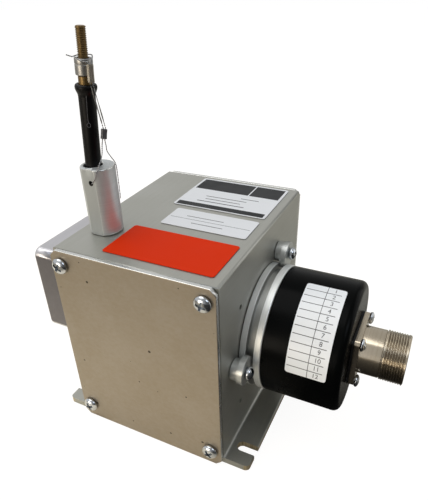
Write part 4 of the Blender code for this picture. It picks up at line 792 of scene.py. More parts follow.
BANDS = {
    "large": (
        (1.2, 29.5, -13.2, -1.2), (30.1, -1.2, -13.2, -1.2), (1.2, -1.2, 0.7, 4.5), (9, 33, 7.2, 7.8),
        (12, 30, 10.2, 10.7), (11, 32, 13.2, 13.7), (28, 37, 16.2, 16.7),
    ),
    "small": ((1.2, -1.2, 7.6, 7.85), (8, 26, 10.2, 10.6), (13, 28, 4.4, 4.8)),
}
FOIL_CORNER, FOIL_EASE = 1.2 * MM, 0.04 * MM
foils = {"red": RED_FOIL}
for size, boxes in BANDS.items():
    foils[size] = printed_foil("white_polyester_foil_" + size, on_foil(size + "_label", boxes))
for size in ("red", "small", "large"):
    label_node = size + "_label"
    low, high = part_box(label_node)
    shape = rectangle(high.x - low.x, high.y - low.y, FOIL_CORNER)
    at = Matrix.Translation((low + high) / 2)
    label = plate(label_node + "_foil", [shape], high.z - low.z, foils[size], at, FOIL_EASE)
    stand_for(label, "housing", "red_label_foil" if size == "red" else "silver_label_foil", label_node)

# %% [markdown]
# ## The housing's profile
# The extrusion is one profile along Y: a box with a tab on each side and a screw port in each
# corner. A box with boolean cuts would do, but a filled outline is how the real one gets its shape,
# and its corners can be rounder than the CAD solid's.

# %% Extruded profile
RIGHT, DEPTH, HEIGHT, REACH, TAB, WALL = 37.5 * MM, 92.4 * MM, 94 * MM, 12 * MM, 3 * MM, 3 * MM
OUTER = RIGHT + REACH
SCREW_X, SCREW_LOW, SCREW_HIGH, SCREW_HOLE = 32.4 * MM, 8.2 * MM, 87.6 * MM, 2.3 * MM
PORT_X, PORT_LOW, PORT_HIGH = 28.6 * MM, 12.0 * MM, 83.8 * MM
FINE, CREASE, ROUND = 0.6 * MM, 1.5 * MM, 1.2 * MM
ONTO_FRONT = Matrix.Rotation(math.radians(90), 4, "X")
profile = rounded([
    (-OUTER, 0, FINE), (OUTER, 0, FINE), (OUTER, TAB, FINE), (RIGHT, TAB, CREASE),
    (RIGHT, HEIGHT, ROUND), (-RIGHT, HEIGHT, ROUND), (-RIGHT, TAB, CREASE), (-OUTER, TAB, FINE),
])
half = [(PORT_X, WALL), (PORT_X, PORT_LOW), (RIGHT - WALL, PORT_LOW)]
half += [(RIGHT - WALL, PORT_HIGH), (PORT_X, PORT_HIGH), (PORT_X, HEIGHT - WALL)]
cavity = rounded([(x, z, 1.0 * MM) for x, z in half] + [(-x, z, 1.0 * MM) for x, z in half[::-1]], 4)
SCREW_PLACES = [(x, z) for x in (-SCREW_X, SCREW_X) for z in (SCREW_LOW, SCREW_HIGH)]
ports = [circle(x, z, SCREW_HOLE) for x, z in SCREW_PLACES]
body = plate("extruded_housing", [profile, cavity, *ports], DEPTH, EXTRUDED, ONTO_FRONT)
print("profile points:", len(profile), "screw ports:", len(ports))

# %% [markdown]
# ## Cutting
# A hole could be left out of a shape's outline, as the ports are. Where it runs across another way,
# a modifier cuts one piece with others, and the exact solver is slow but keeps flat faces whole. A
# cut face can then get a finish of its own.


# %% Cutting helpers
ENCODER_AXIS = Matrix.Translation((0, AXIS_Y, AXIS_Z)) @ Matrix.Rotation(math.radians(90), 4, "Y")


def on_axis(height, x=0.0, y=0.0):
    """A place by the encoder's axis, with local +Z along it."""
    return ENCODER_AXIS @ Matrix.Translation((x, y, height))


def rod(name, radius, length, matrix, sides=48):
    half = length / 2
    return lathe(name, [(0, half), (radius, half), (radius, -half), (0, -half)], None, matrix, 0, sides)


def carve(obj, cutters):
    """Cuts the other pieces away, and keeps one plain mesh."""
    for cutter in cutters:
        boolean = obj.modifiers.new(cutter.name, "BOOLEAN")
        boolean.operation = "DIFFERENCE"
        boolean.object = cutter
        boolean.solver = "EXACT"
    made = bake(obj)
    for cutter in cutters:
        bpy.data.objects.remove(cutter, do_unlink=True)
    return made


def by_face(obj, materials, which):
    """Gives each face one of the materials."""
    obj.data.materials.clear()
    for material in materials:
        obj.data.materials.append(material)
    for face in obj.data.polygons:
        face.material_index = int(which(face))


print("encoder axis at", [round(v / MM, 1) for v in ENCODER_AXIS.translation], "mm")

# %% [markdown]
# ## Milling and drilling
# After the saw, the tabs get open slots and round corners, and the walls get their holes. The
# cutters are plates and rods as well. Painting dark spots would be quicker, but real cuts show
# their walls, and the milled ones get a finish of their own, face by face.

# %% Cuts in the body
SLOT_HALF, SLOT_LONG, CUT_THROUGH, CORNER = 2.5 * MM, 12 * MM, 8 * MM, 2.5 * MM
SLOT_X, SLOT_Y, SLOT_END = 40.4 * MM, 37.1 * MM, 2.49 * MM
slot = [(0, -SLOT_HALF, SLOT_END), (SLOT_LONG, -SLOT_HALF, 0)]
slot += [(SLOT_LONG, SLOT_HALF, 0), (0, SLOT_HALF, SLOT_END)]
arc = [Vector((math.sin(a), math.cos(a))) * CORNER for a in (math.radians(90) * s / 8 for s in range(9))]
corner_shape = [Vector((0, 4 * MM)), *arc, Vector((4 * MM, 0)), Vector((4 * MM, 4 * MM))]
cutters = []
for quarter, side_x, end_y in ((2, -1, -1), (1, -1, 1), (3, 1, -1), (0, 1, 1)):
    at = Matrix.Translation((side_x * SLOT_X, end_y * SLOT_Y, 0))
    at = at @ Matrix.Rotation(0 if side_x > 0 else math.pi, 4, "Z")
    cutters.append(plate(f"slot_{quarter}", [rounded(slot, 12)], CUT_THROUGH, None, at))
    at = Matrix.Translation((side_x * (OUTER - CORNER), end_y * (DEPTH / 2 - CORNER), 0))
    at = at @ Matrix.Rotation(quarter * math.pi / 2, 4, "Z")
    cutters.append(plate(f"tab_corner_{quarter}", [corner_shape], CUT_THROUGH, None, at))
at = Matrix.Translation((OUTLET_X, WIRE_Y, HEIGHT - WALL / 2))
cutters.append(rod("guide_hole", 5.3 * MM, CUT_THROUGH, at))
cutters.append(rod("spigot_hole", 25.3 * MM, CUT_THROUGH, on_axis(RIGHT - WALL / 2), 96))
PIN_STEP = 26.3 * MM
for y in (-PIN_STEP, PIN_STEP):
    for z in (-PIN_STEP, PIN_STEP):
        cutters.append(rod("pin_hole", 1.2 * MM, CUT_THROUGH, on_axis(RIGHT - WALL / 2, z, y), 24))
body = carve(body, cutters)


def on_tab_edge(face):
    """Whether the face is an upright one of the tabs, which a mill has cut."""
    return face.center.z < TAB and abs(face.center.x) > RIGHT + 1 * MM and abs(face.normal.z) < 0.5


by_face(body, (EXTRUDED, MILLED), on_tab_edge)
print("milled faces:", sum(face.material_index for face in body.data.polygons))
stand_for(body, "housing", "anodised_aluminium", "housing_body")

# %% [markdown]
# ## The end covers
# Each end is closed by a 2 mm plate that is held by four screws. A box would do, but the rim has a fine
# chamfer, which catches a thin line of light all round in the photograph, so the plate is eased and its rim
# gets the bright finish of a cut edge, brightened further as a painted highlight.

# %% Cover plates
for cover_node, face_y in (("front_cover", -1), ("rear_cover", 1)):
    corners = [(-RIGHT, 0), (RIGHT, 0), (RIGHT, HEIGHT), (-RIGHT, HEIGHT)]
    outline = rounded([(x, z, 2.6 * MM) for x, z in corners], 1)
    holes = [circle(x, z, SCREW_HOLE) for x, z in SCREW_PLACES]
    at = Matrix.Translation((0, face_y * 47.5 * MM, 0)) @ ONTO_FRONT
    cover = plate(cover_node + "_plate", [outline, *holes], 2 * MM, SHEET, at, 0.35 * MM, 2)
    # The rim's faces get the cut edge's colour, which is partly a painted highlight.
    by_face(cover, (SHEET, CUT_EDGE_AND_HIGHLIGHT), lambda face: abs(face.normal.y) < 0.9)
    stand_for(cover, "housing", "anodised_aluminium", cover_node)

# %% [markdown]
# ## The side housing
# On the left wall sits a shallow box of folded sheet. A plain block would miss its bends, which
# catch a bright line in the photograph, so the outer rim gets a bevel with many steps, and a smaller
# block hollows it out.

# %% Folded bulge
low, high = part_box("side_housing")
size_y, size_z, reach = high.y - low.y, high.z - low.z, high.x - low.x
SHEET_THICK, BEND, BEND_STEPS = 2 * MM, 3.8 * MM, 12
ONTO_LEFT = Matrix.Rotation(math.radians(-90), 4, "Y")
bulge = plate("folded_bulge", [rectangle(size_z, size_y, BEND, BEND_STEPS)], reach, FOLDED, ONTO_LEFT)
bm = bmesh.new()
bm.from_mesh(bulge.data)
outer_face = min(v.co.x for v in bm.verts)
rim = [e for e in bm.edges if all(abs(v.co.x - outer_face) < 1e-6 for v in e.verts) and e.is_manifold]
rim = [e for e in rim if e.calc_face_angle() > SHARP_EDGE]
bmesh.ops.bevel(bm, geom=rim, offset=1.1 * MM, segments=6, profile=0.5, affect="EDGES")
bm.to_mesh(bulge.data)
bm.free()
bulge.data.transform(Matrix.Translation((low + high) / 2))
hollow_shape = rectangle(size_z - 2 * SHEET_THICK, size_y - 2 * SHEET_THICK, BEND - SHEET_THICK, BEND_STEPS)
hollow_at = Matrix.Translation((low + high) / 2 + Vector((SHEET_THICK, 0, 0))) @ ONTO_LEFT
bulge = carve(bulge, [plate("bulge_hollow", [hollow_shape], reach, None, hollow_at)])
# The faces that look forward and back get the darker copy: painted shade.
by_face(bulge, (FOLDED, FOLDED_SHADED_FACES), lambda face: abs(face.normal.y) > 0.97)
stand_for(bulge, "housing", "dark_grey_paint", "side_housing")

# %% [markdown]
# ## A screw
# All visible screws are pan heads with a cross recess, in three sizes. Each could be modelled by
# itself, but one Geometry Nodes tree makes the screw from named sizes, sets it on the points of a
# small mesh and turns each by its own direction. The points carry their turn as an attribute.

# %% A tree for pan head screws
SCREW_SIZES = ("Head Radius", "Head Height", "Rim Height", "Shank Radius", "Shank Length")
SCREW_TREE, given = tree_with("pan head screws", (*SCREW_SIZES, "Recess Width", "Recess Depth"))
work_out(SCREW_TREE, given, (
    ("dome height", "SUBTRACT", "Head Height", "Rim Height"),
    ("dome scale", "DIVIDE", "dome height", "Head Radius"),
    ("scale", "COMBINE", 1.0, 1.0, "dome scale"), ("rim at", "COMBINE", 0.0, 0.0, "Rim Height"),
    ("wide", "MULTIPLY", "Head Radius", 3.0), ("wide size", "COMBINE", "wide", "wide", "wide"),
    ("below", "MULTIPLY", "wide", -0.5), ("below at", "COMBINE", 0.0, 0.0, "below"),
    ("arm long", "MULTIPLY", "Head Radius", 1.15), ("arm deep", "MULTIPLY", "Recess Depth", 2.0),
    ("arm along", "COMBINE", "arm long", "Recess Width", "arm deep"),
    ("arm across", "COMBINE", "Recess Width", "arm long", "arm deep"),
    ("top at", "COMBINE", 0.0, 0.0, "Head Height"),
    ("shank mid", "MULTIPLY", "Shank Length", -0.5), ("shank at", "COMBINE", 0.0, 0.0, "shank mid"),
))
ball = {"Segments": 40, "Rings": 20, "Radius": given["Head Radius"]}
dome = {"Geometry": node(SCREW_TREE, "GeometryNodeMeshUVSphere", ball)}
dome |= {"Translation": given["rim at"], "Scale": given["scale"]}
dome = node(SCREW_TREE, "GeometryNodeTransform", dome)
cut = node(SCREW_TREE, "GeometryNodeMeshBoolean", {0: dome}, operation="DIFFERENCE", solver="EXACT")
for tool_size, tool_at in (("wide size", "below at"), ("arm along", "top at"), ("arm across", "top at")):
    tool = {"Geometry": node(SCREW_TREE, "GeometryNodeMeshCube", {"Size": given[tool_size]})}
    tool["Translation"] = given[tool_at]
    node(SCREW_TREE, "GeometryNodeTransform", tool, to=cut.inputs[1])
stem = {"Vertices": 24, "Radius": given["Shank Radius"], "Depth": given["Shank Length"]}
stem = {"Geometry": node(SCREW_TREE, "GeometryNodeMeshCylinder", stem), "Translation": given["shank at"]}
shank = node(SCREW_TREE, "GeometryNodeTransform", stem)
whole = node(SCREW_TREE, "GeometryNodeJoinGeometry")
for part in (cut, shank):
    SCREW_TREE.links.new(part.outputs[0], whole.inputs[0])
stored = {"Name": "turn"}
stored = node(SCREW_TREE, "GeometryNodeInputNamedAttribute", stored, data_type="FLOAT_VECTOR")
copies = {"Points": given["Geometry"], "Instance": whole}
copies["Rotation"] = node(SCREW_TREE, "FunctionNodeEulerToRotation", {0: stored})
end_tree(SCREW_TREE, given, node(SCREW_TREE, "GeometryNodeInstanceOnPoints", copies))

# %% [markdown]
# ## The covers' screws
# Four screws hold each cover, and no two stand at the same angle, because a hand stopped each one
# where it was tight. One function puts a row of places into the tree. The clamps' and the
# connector's screws use it later.


# %% Setting screws
def screws(name, places, matrix, spins, sizes):
    """Screws at places on one plane; matrix carries local +Z out of the screwed face."""
    mesh = bpy.data.meshes.new(name)
    mesh.from_pydata([matrix @ Vector(p) for p in places], [], [])
    turn = mesh.attributes.new("turn", "FLOAT_VECTOR", "POINT")
    for i, spin in enumerate(spins):
        turn.data[i].vector = (matrix.to_3x3() @ Matrix.Rotation(math.radians(spin), 3, "Z")).to_euler()
    values = dict(zip(SCREW_SIZES, sizes))
    values |= {"Recess Width": 0.3 * sizes[0], "Recess Depth": 0.6 * sizes[1], "Material": ZINC}
    made = grow(linked(name, mesh), SCREW_TREE, values)
    stand_for(made, "housing", "zinc_plated_steel", *(f"{name[:-1]}_{i + 1}" for i in range(len(places))))


# Three kinds, each in the order of SCREW_SIZES.
COVER_SCREW = (3.6 * MM, 2.6 * MM, 0.7 * MM, 2.0 * MM, 10 * MM)
CLAMP_SCREW = (2.9 * MM, 2.9 * MM, 1.0 * MM, 1.5 * MM, 8.5 * MM)
CONNECTOR_SCREW = (2.7 * MM, 1.8 * MM, 0.6 * MM, 1.25 * MM, 4.2 * MM)
HEAD_Y = 48.8 * MM
SPINS = {"front_cover_screws": (1, (20, 60, 35, 75)), "rear_cover_screws": (-1, (10, 50, 80, 30))}
for name, (way, spins) in SPINS.items():
    at = Matrix.Translation((0, -way * HEAD_Y, 0)) @ Matrix.Rotation(math.radians(way * 90), 4, "X")
    screws(name, [(x, way * z, 0) for x, z in SCREW_PLACES], at, spins, COVER_SCREW)

# %% [markdown]
# ## The encoder
# The flange is turned aluminium with a groove in its rim, where the clamps hold it. The cover is a
# black cup pushed against it. Cylinders could be stacked, but both are turned from one outline each
# about the encoder's axis, as on a real lathe.


# %% Flange and cover
WALL_X = RIGHT


def in_mm(outline, start=0.0):
    """An outline of (radius, height) in mm, as metres, with its heights counted from the start."""
    return [(radius * MM, start + height * MM) for radius, height in outline]


FLANGE = [
    (27.0, 13.15), (27.0, 9.65), (28.6, 9.65), (29.0, 9.25), (29.0, 6.5), (26.0, 6.5), (26.0, 3.0),
    (29.0, 3.0), (29.0, 0.3), (25.0, 0.3), (25.0, -2.7), (6.8, -2.7), (6.8, 13.15),
]
GROOVE_EDGE = 28.7 * MM
flange = lathe("turned_flange", in_mm(FLANGE, WALL_X), TURNED_ENCODER, ENCODER_AXIS, 0.2 * MM, 160)
# The groove's faces get the darker finish, as painted shade.
by_face(
    flange, (TURNED_ENCODER, GROOVE_SHADE),
    lambda face: math.hypot(face.center.y - AXIS_Y, face.center.z - AXIS_Z) < GROOVE_EDGE,
)
stand_for(flange, "housing", "turned_aluminium", "encoder_flange")
COVER_ROUND, COVER_RADIUS, COVER_END = 3.0, 28.8, 42.5
cup = [(8.5, COVER_END)]
for step in range(13):
    angle = math.radians(90) * step / 12
    along = COVER_END - COVER_ROUND + COVER_ROUND * math.cos(angle)
    cup.append((COVER_RADIUS - COVER_ROUND + COVER_ROUND * math.sin(angle), along))
cup += [(28.8, 9.95), (27.3, 9.95), (27.3, 39.5), (25.8, 41.0), (8.5, 41.0)]
cover = lathe("coated_cover", in_mm(cup, WALL_X), BLACK_COAT, ENCODER_AXIS, 0.12 * MM, 160)
stand_for(cover, "housing", "black_powder_coat", "encoder_cover")

# %% [markdown]
# ## Clamps
# Three eccentric discs on short feet reach into the flange's groove and hold the encoder. A union of
# the two shapes could fail where they touch, so each clamp joins two plates in one mesh, and the
# same screw tree sets a screw on top.

# %% Eccentric clamps
def join(name, parts, material):
    """Keeps several shells in one mesh, as one piece."""
    bm = bmesh.new()
    for part in parts:
        bm.from_mesh(part.data)
        bpy.data.objects.remove(part, do_unlink=True)
    return meshed(name, bm, material, outward=False)


CLAMP_CIRCLE, CLAMP_FOOT, CLAMP_DISC, CLAMP_BORE = 34 * MM, 4.7 * MM, 6.2 * MM, 1.8 * MM
CLAMP_LOW, CLAMP_MID, CLAMP_TOP = WALL_X + 0.3 * MM, WALL_X + 3.3 * MM, WALL_X + 5.8 * MM
INWARD = 1 - 1 * MM / CLAMP_CIRCLE
foot_at, disc_at = on_axis((CLAMP_LOW + CLAMP_MID) / 2), on_axis((CLAMP_MID + CLAMP_TOP) / 2)
clamp_places = []
for number, degrees in enumerate((30, 150, 270), 1):
    angle = math.radians(degrees)
    x, y = -CLAMP_CIRCLE * math.cos(angle), CLAMP_CIRCLE * math.sin(angle)
    foot, disc = circle(x, y, CLAMP_FOOT, 72), circle(x * INWARD, y * INWARD, CLAMP_DISC, 96)
    bore = circle(x, y, CLAMP_BORE)
    foot = plate("clamp_foot", [foot, bore], CLAMP_MID - CLAMP_LOW, None, foot_at, 0.25 * MM)
    disc = plate("clamp_disc", [disc, bore], CLAMP_TOP - CLAMP_MID, None, disc_at, 0.3 * MM, 3)
    clamp = join(f"turned_clamp_{number}", [foot, disc], CLAMP_METAL)
    stand_for(clamp, "housing", "turned_aluminium", f"synchro_clamp_{number}")
    clamp_places.append((x, y, CLAMP_TOP + 0.3 * MM))
screws("clamp_screws", clamp_places, ENCODER_AXIS, (25, 65, 40), CLAMP_SCREW)

# %% [markdown]
# ## Threads
# A thread is a ridge that climbs by one pitch in each turn. Stacked rings would only look like one.
# One Geometry Nodes tree rolls a grid into a sleeve, and lets its radius rise and fall with height
# less the turned share of a pitch, which is a true helix. The grid's first and last rows lie inside,
# so the sleeve closes on itself. The attribute root says how deep each point lies.

# %% A tree for threads
THREAD_SIZES = ("Crest Radius", "Inner Radius", "Depth", "Pitch", "Start", "Length", "Fade")
THREAD_TREE, given = tree_with("rolled thread", THREAD_SIZES, ("Sides", "Rows"))
given["index"] = node(THREAD_TREE, "GeometryNodeInputIndex")
work_out(THREAD_TREE, given, (
    ("columns", "ADD", "Sides", 1.0), ("all rows", "ADD", "Rows", 3.0), ("counted", "ADD", "index", 0.5),
    ("rows done", "DIVIDE", "counted", "columns"), ("row", "FLOOR", "rows done"),
    ("before", "MULTIPLY", "row", "columns"), ("column", "SUBTRACT", "index", "before"),
    ("turned", "DIVIDE", "column", "Sides"), ("angle", "MULTIPLY", "turned", math.tau),
    ("last row", "SUBTRACT", "Rows", 1.0), ("climbed", "SUBTRACT", "row", 1.0),
    ("climb", "DIVIDE", "climbed", "last row"), ("share", "CLAMP", "climb"),
    ("wrap row", "ADD", "Rows", 1.5), ("wraps", "GREATER_THAN", "row", "wrap row"),
    ("stays", "SUBTRACT", 1.0, "wraps"), ("kept share", "MULTIPLY", "share", "stays"),
    ("travel", "MULTIPLY", "kept share", "Length"), ("pitches", "DIVIDE", "travel", "Pitch"),
    ("phase", "SUBTRACT", "pitches", "turned"), ("swing", "MULTIPLY", "phase", math.tau),
    ("wave", "COSINE", "swing"), ("hollow", "MULTIPLY_ADD", "wave", -0.5, 0.5),
    ("rest", "SUBTRACT", "Length", "travel"), ("near end", "MINIMUM", "travel", "rest"),
    ("run in", "DIVIDE", "near end", "Fade"), ("fade", "CLAMP", "run in"),
    ("groove", "MULTIPLY", "hollow", "fade"), ("cut", "MULTIPLY", "groove", "Depth"),
    ("outside", "SUBTRACT", "Crest Radius", "cut"), ("root", "MULTIPLY", "groove", 0.5),
    ("first row", "LESS_THAN", "row", 0.5), ("top row", "ADD", "Rows", 0.5),
    ("beyond", "GREATER_THAN", "row", "top row"), ("inside", "MAXIMUM", "first row", "beyond"),
))
either = {0: given["inside"], 2: given["outside"], 3: given["Inner Radius"]}
given["radius"] = node(THREAD_TREE, "ShaderNodeMix", either, data_type="FLOAT")
work_out(THREAD_TREE, given, (
    ("cosine", "COSINE", "angle"), ("sine", "SINE", "angle"), ("x", "MULTIPLY", "radius", "cosine"),
    ("y", "MULTIPLY", "radius", "sine"), ("z", "ADD", "travel", "Start"),
    ("rolled", "COMBINE", "x", "y", "z"),
))
grid = {"Vertices X": given["all rows"], "Vertices Y": given["columns"]}
grid = node(THREAD_TREE, "GeometryNodeMeshGrid", grid)
rolled = node(THREAD_TREE, "GeometryNodeSetPosition", {"Geometry": grid, "Position": given["rolled"]})
rooted = {"Geometry": rolled, "Name": "root", "Value": given["root"]}
rooted = node(THREAD_TREE, "GeometryNodeStoreNamedAttribute", rooted, data_type="FLOAT", domain="POINT")
closed = node(THREAD_TREE, "GeometryNodeMergeByDistance", {"Geometry": rooted, "Distance": 0.002 * MM})
end_tree(THREAD_TREE, given, closed)


def threaded(name, crest, inner, depth, pitch, start, length, material, matrix, sides=96):
    """A threaded sleeve between two heights on the axis of the matrix, with ten rows to a pitch."""
    values = dict(zip(THREAD_SIZES, (crest, inner, depth, pitch, start, length, 0.7 * pitch)))
    values |= {"Sides": sides, "Rows": round(length / pitch * 10), "Material": material}
    return outward(grow(seed(name), THREAD_TREE, values), matrix)


# %% [markdown]
# ## The connector
# A square flange with a smooth barrel and a fine thread, all nickel plated, on a rubber gasket. A
# lathe shape makes the shell and the tree makes its thread, at a pitch of 1 mm. The shells overlap a
# little and stay apart in one mesh, which is safer than a union of such fine shapes.

# %% Threaded shell
CONNECTOR_START = WALL_X + 43.5 * MM
BARREL_START = CONNECTOR_START + 2.2 * MM
THREAD_START = BARREL_START + 9 * MM
CONNECTOR_END = THREAD_START + 9.5 * MM
THREAD_RADIUS, THREAD_PITCH = 10.75 * MM, 1.0 * MM
SHELL = [
    (8.9, 64.2), (10.15, 64.2), (10.3, 64.05), (10.05, 54.65), (10.05, 54.35), (10.4, 54.25), (10.4, 45.6),
    (8.7, 45.6), (8.7, 64.0),
]
shell = lathe("shell_core", in_mm(SHELL, WALL_X), NICKEL, ENCODER_AXIS, 0.05 * MM, 128)
thread_length = CONNECTOR_END - 0.35 * MM - THREAD_START
shell_thread = threaded(
    "shell_thread", THREAD_RADIUS, 10 * MM, 0.42 * MM, THREAD_PITCH, THREAD_START, thread_length, NICKEL,
    ENCODER_AXIS, 128,
)
square = rectangle(24 * MM, 24 * MM, 2.2 * MM)
CORNERS = [(x * 9.8 * MM, y * 9.8 * MM) for x in (-1, 1) for y in (-1, 1)]
holes = [circle(x, y, 1.55 * MM) for x, y in CORNERS]
SQUARE_THICK, GASKET_THICK = 2.2 * MM, 0.7 * MM
square_flange = [square, circle(0, 0, 8.4 * MM, 64), *holes]
at = on_axis(BARREL_START - SQUARE_THICK / 2)
square_flange = plate("square_flange", square_flange, SQUARE_THICK, NICKEL, at, 0.25 * MM)
shell = join("nickel_shell", [shell, shell_thread, square_flange], NICKEL)
stand_for(shell, "housing", "nickel_plated_brass", "connector_shell")
gasket = [square, circle(0, 0, 8.5 * MM, 64), *holes]
at = on_axis(CONNECTOR_START - 0.5 * MM)
gasket = plate("gasket_sheet", gasket, GASKET_THICK, GASKET_RUBBER, at, 0.1 * MM)
stand_for(gasket, "housing", "black_rubber", "connector_gasket")
heads = [(x, y, BARREL_START + 0.15 * MM) for x, y in CORNERS]
screws("connector_screws", heads, ENCODER_AXIS, (15, 45, 70, 30), CONNECTOR_SCREW)

# %% [markdown]
# ## Contacts
# Inside the shell stands a black insert with twelve gold pins on two circles. The pins could be
# copied by hand, but a small tree sets one on every point of a circle, so a count is enough.

# %% Insert and pins
PIN_TREE, given = tree_with("pins on a circle", ("Circle Radius", "Pin Radius", "Pin Length"), ("Count",))
round_way = {"Vertices": given["Count"], "Radius": given["Circle Radius"]}
pin = {"Vertices": 16, "Radius": given["Pin Radius"], "Depth": given["Pin Length"]}
pins = {"Points": node(PIN_TREE, "GeometryNodeMeshCircle", round_way)}
pins["Instance"] = node(PIN_TREE, "GeometryNodeMeshCylinder", pin)
end_tree(PIN_TREE, given, node(PIN_TREE, "GeometryNodeInstanceOnPoints", pins))
INSERT_TOP = CONNECTOR_END - 10.5 * MM
PIN_SIZES = {"Pin Radius": 0.6 * MM, "Pin Length": 5 * MM, "Material": GOLD}
for count, radius in ((9, 6.1 * MM), (3, 2.5 * MM)):
    gold = grow(seed(f"gold_pins_{count}"), PIN_TREE, PIN_SIZES | {"Circle Radius": radius, "Count": count})
    gold.data.transform(on_axis(INSERT_TOP + 1.5 * MM))
    stand_for(gold, "housing", "nickel_plated_brass")
insert = [(0, INSERT_TOP), (8.4 * MM, INSERT_TOP), (8.4 * MM, BARREL_START), (0, BARREL_START)]
insert = lathe("contact_insert", insert, CONTACT_PLASTIC, ENCODER_AXIS, 0.2 * MM)
stand_for(insert, "housing", "black_contact_plastic", "connector_insert")

# %% [markdown]
# ## The round label's print
# The cover carries a white foil with a table of two columns and twelve rows. An image could show
# it, but lines that are read from the foil's UV map stay sharp and thin.

# %% Table print
TABLE_INK = "#3A3D40"
TABLE_ROWS = 12
LINE_HALF = 0.045
# Smooth foil is white with a broad gloss, which shows that it bends round the cover.
TABLE_FOIL, tree, shader, coords = finish("white_polyester_foil_table", "#E4E7E9", 0.32)
uv = node(tree, "ShaderNodeSeparateXYZ", {0: node(tree, "ShaderNodeUVMap", uv_map="foil")}).outputs
known = work_out(tree, {"v": uv[1]}, (
    ("rows", "MULTIPLY", "v", TABLE_ROWS), ("part of row", "FRACT", "rows"),
    ("from line", "PINGPONG", "part of row", 0.5), ("on line", "LESS_THAN", "from line", LINE_HALF),
))
known["in frame"] = in_boxes(tree, uv[0], uv[1], [(0.03, 0.9, 0.03, 0.97)])
known["column"] = in_boxes(tree, uv[0], uv[1], [(0.535, 0.55, -1, 2)])
work_out(tree, known, (("rule", "MULTIPLY", "on line", "in frame"), ("lines", "MAXIMUM", "rule", "column")))
over(TABLE_FOIL, known["lines"], TABLE_INK)
foil_gloss(TABLE_FOIL, tree, coords, (0.26, 0.4))
print("table print has", len(tree.nodes), "nodes")

# %% [markdown]
# ## The bent foil
# The foil is bent round the cover. A flat plate with a bend modifier would do, but mesh code can put
# every point on the cover by its share of the foil, and the same shares make the UV map.

# %% Bent foil
LABEL_START, LABEL_END = WALL_X + 20.4 * MM, WALL_X + 37.0 * MM
LABEL_FIRST, LABEL_TURN = math.radians(-85.5), math.radians(80)
LABEL_INNER, LABEL_OUTER = 28.95 * MM, 29.15 * MM
LABEL_WIDTH, LABEL_HEIGHT = LABEL_END - LABEL_START, LABEL_TURN * LABEL_OUTER


def on_cover(u, v, radius):
    """A place on the round cover: u along the axis, v up round it, both from 0 to 1."""
    angle = LABEL_FIRST + LABEL_TURN * v
    x = LABEL_START + LABEL_WIDTH * u
    return Vector((x, AXIS_Y + radius * math.sin(angle), AXIS_Z + radius * math.cos(angle)))


def pulled(u, v):
    """Moves the foil's corner points in, to round the corner."""
    x, y = abs(u - 0.5) * LABEL_WIDTH, abs(v - 0.5) * LABEL_HEIGHT
    from_x, from_y = LABEL_WIDTH / 2 - FOIL_CORNER, LABEL_HEIGHT / 2 - FOIL_CORNER
    away = math.hypot(x - from_x, y - from_y)
    if x > from_x and y > from_y and away > FOIL_CORNER:
        x, y = (a + (b - a) * FOIL_CORNER / away for a, b in ((from_x, x), (from_y, y)))
    return 0.5 + math.copysign(x / LABEL_WIDTH, u - 0.5), 0.5 + math.copysign(y / LABEL_HEIGHT, v - 0.5)


us = [0, 0.02, 0.045, *(i / 12 for i in range(1, 12)), 0.955, 0.98, 1]
vs = [0, 0.008, 0.018, *(i / 60 for i in range(2, 59)), 0.982, 0.992, 1]
bm = bmesh.new()
layer = bm.loops.layers.uv.new("foil")
places, grids = {}, []
for radius in (LABEL_OUTER, LABEL_INNER):
    grid = [[bm.verts.new(on_cover(*pulled(u, v), radius)) for u in us] for v in vs]
    places |= {grid[j][i]: pulled(u, v) for j, v in enumerate(vs) for i, u in enumerate(us)}
    for a, b in zip(grid, grid[1:]):
        for i in range(len(us) - 1):
            bm.faces.new((a[i], a[i + 1], b[i + 1], b[i]))
    up, down = [row[0] for row in grid], [row[-1] for row in grid[-2::-1]]
    grids.append(up + grid[-1][1:] + down + grid[0][-2:0:-1])
for i in range(len(grids[0])):
    bm.faces.new((grids[0][i - 1], grids[0][i], grids[1][i], grids[1][i - 1]))
for face in bm.faces:
    for loop in face.loops:
        loop[layer].uv = places[loop.vert]
stand_for(meshed("table_foil", bm, TABLE_FOIL), "housing", "silver_label_foil", "pin_table_label")

# %% [markdown]
# ## The table's numbers
# The table's cells hold the plain numbers 1 to 12. Print has no height, but a mask for twelve
# numbers would take many nodes, so each number is a thin text, bent round the cover point by point.

# %% Numbers in the table
# Dry ink is a dark grey with only a soft gleam.
INK, tree, shader, coords = finish("black_print", TABLE_INK, 0.5)
sway(INK, node(tree, "ShaderNodeTexNoise", {"Vector": coords, "Scale": 900.0}), (0, 1), (0.42, 0.58))
DIGIT_HEIGHT, DIGIT_SHARE, SECOND_COLUMN, LIFTED = 1.9 * MM, 0.7, 0.74, 0.012 * MM
digits = []
for number in range(1, TABLE_ROWS + 1):
    text = bpy.data.curves.new(f"number_{number}", "FONT")
    text.body = str(number)
    text.size = DIGIT_HEIGHT / DIGIT_SHARE
    text.align_x, text.align_y = "CENTER", "CENTER"
    text.extrude = 0.01 * MM
    digit = bake(linked(text.name, text))
    row_middle = 1 - (number - 0.5) / TABLE_ROWS
    for vertex in digit.data.vertices:
        x, y, z = vertex.co
        u, v = SECOND_COLUMN + x / LABEL_WIDTH, row_middle + y / LABEL_HEIGHT
        vertex.co = on_cover(u, v, LABEL_OUTER + LIFTED + z)
    digits.append(digit)
stand_for(join("table_numbers", digits, INK), "housing", "black_contact_plastic")

# %% [markdown]
# ## The wire guide
# A stout turned post with a milled flat, a small cross hole and an off-centre bore, in which the
# wire's rubber sleeve stands. A bore off the axis can't be turned with the outline, so the post is
# turned first and then cut, as in the workshop.

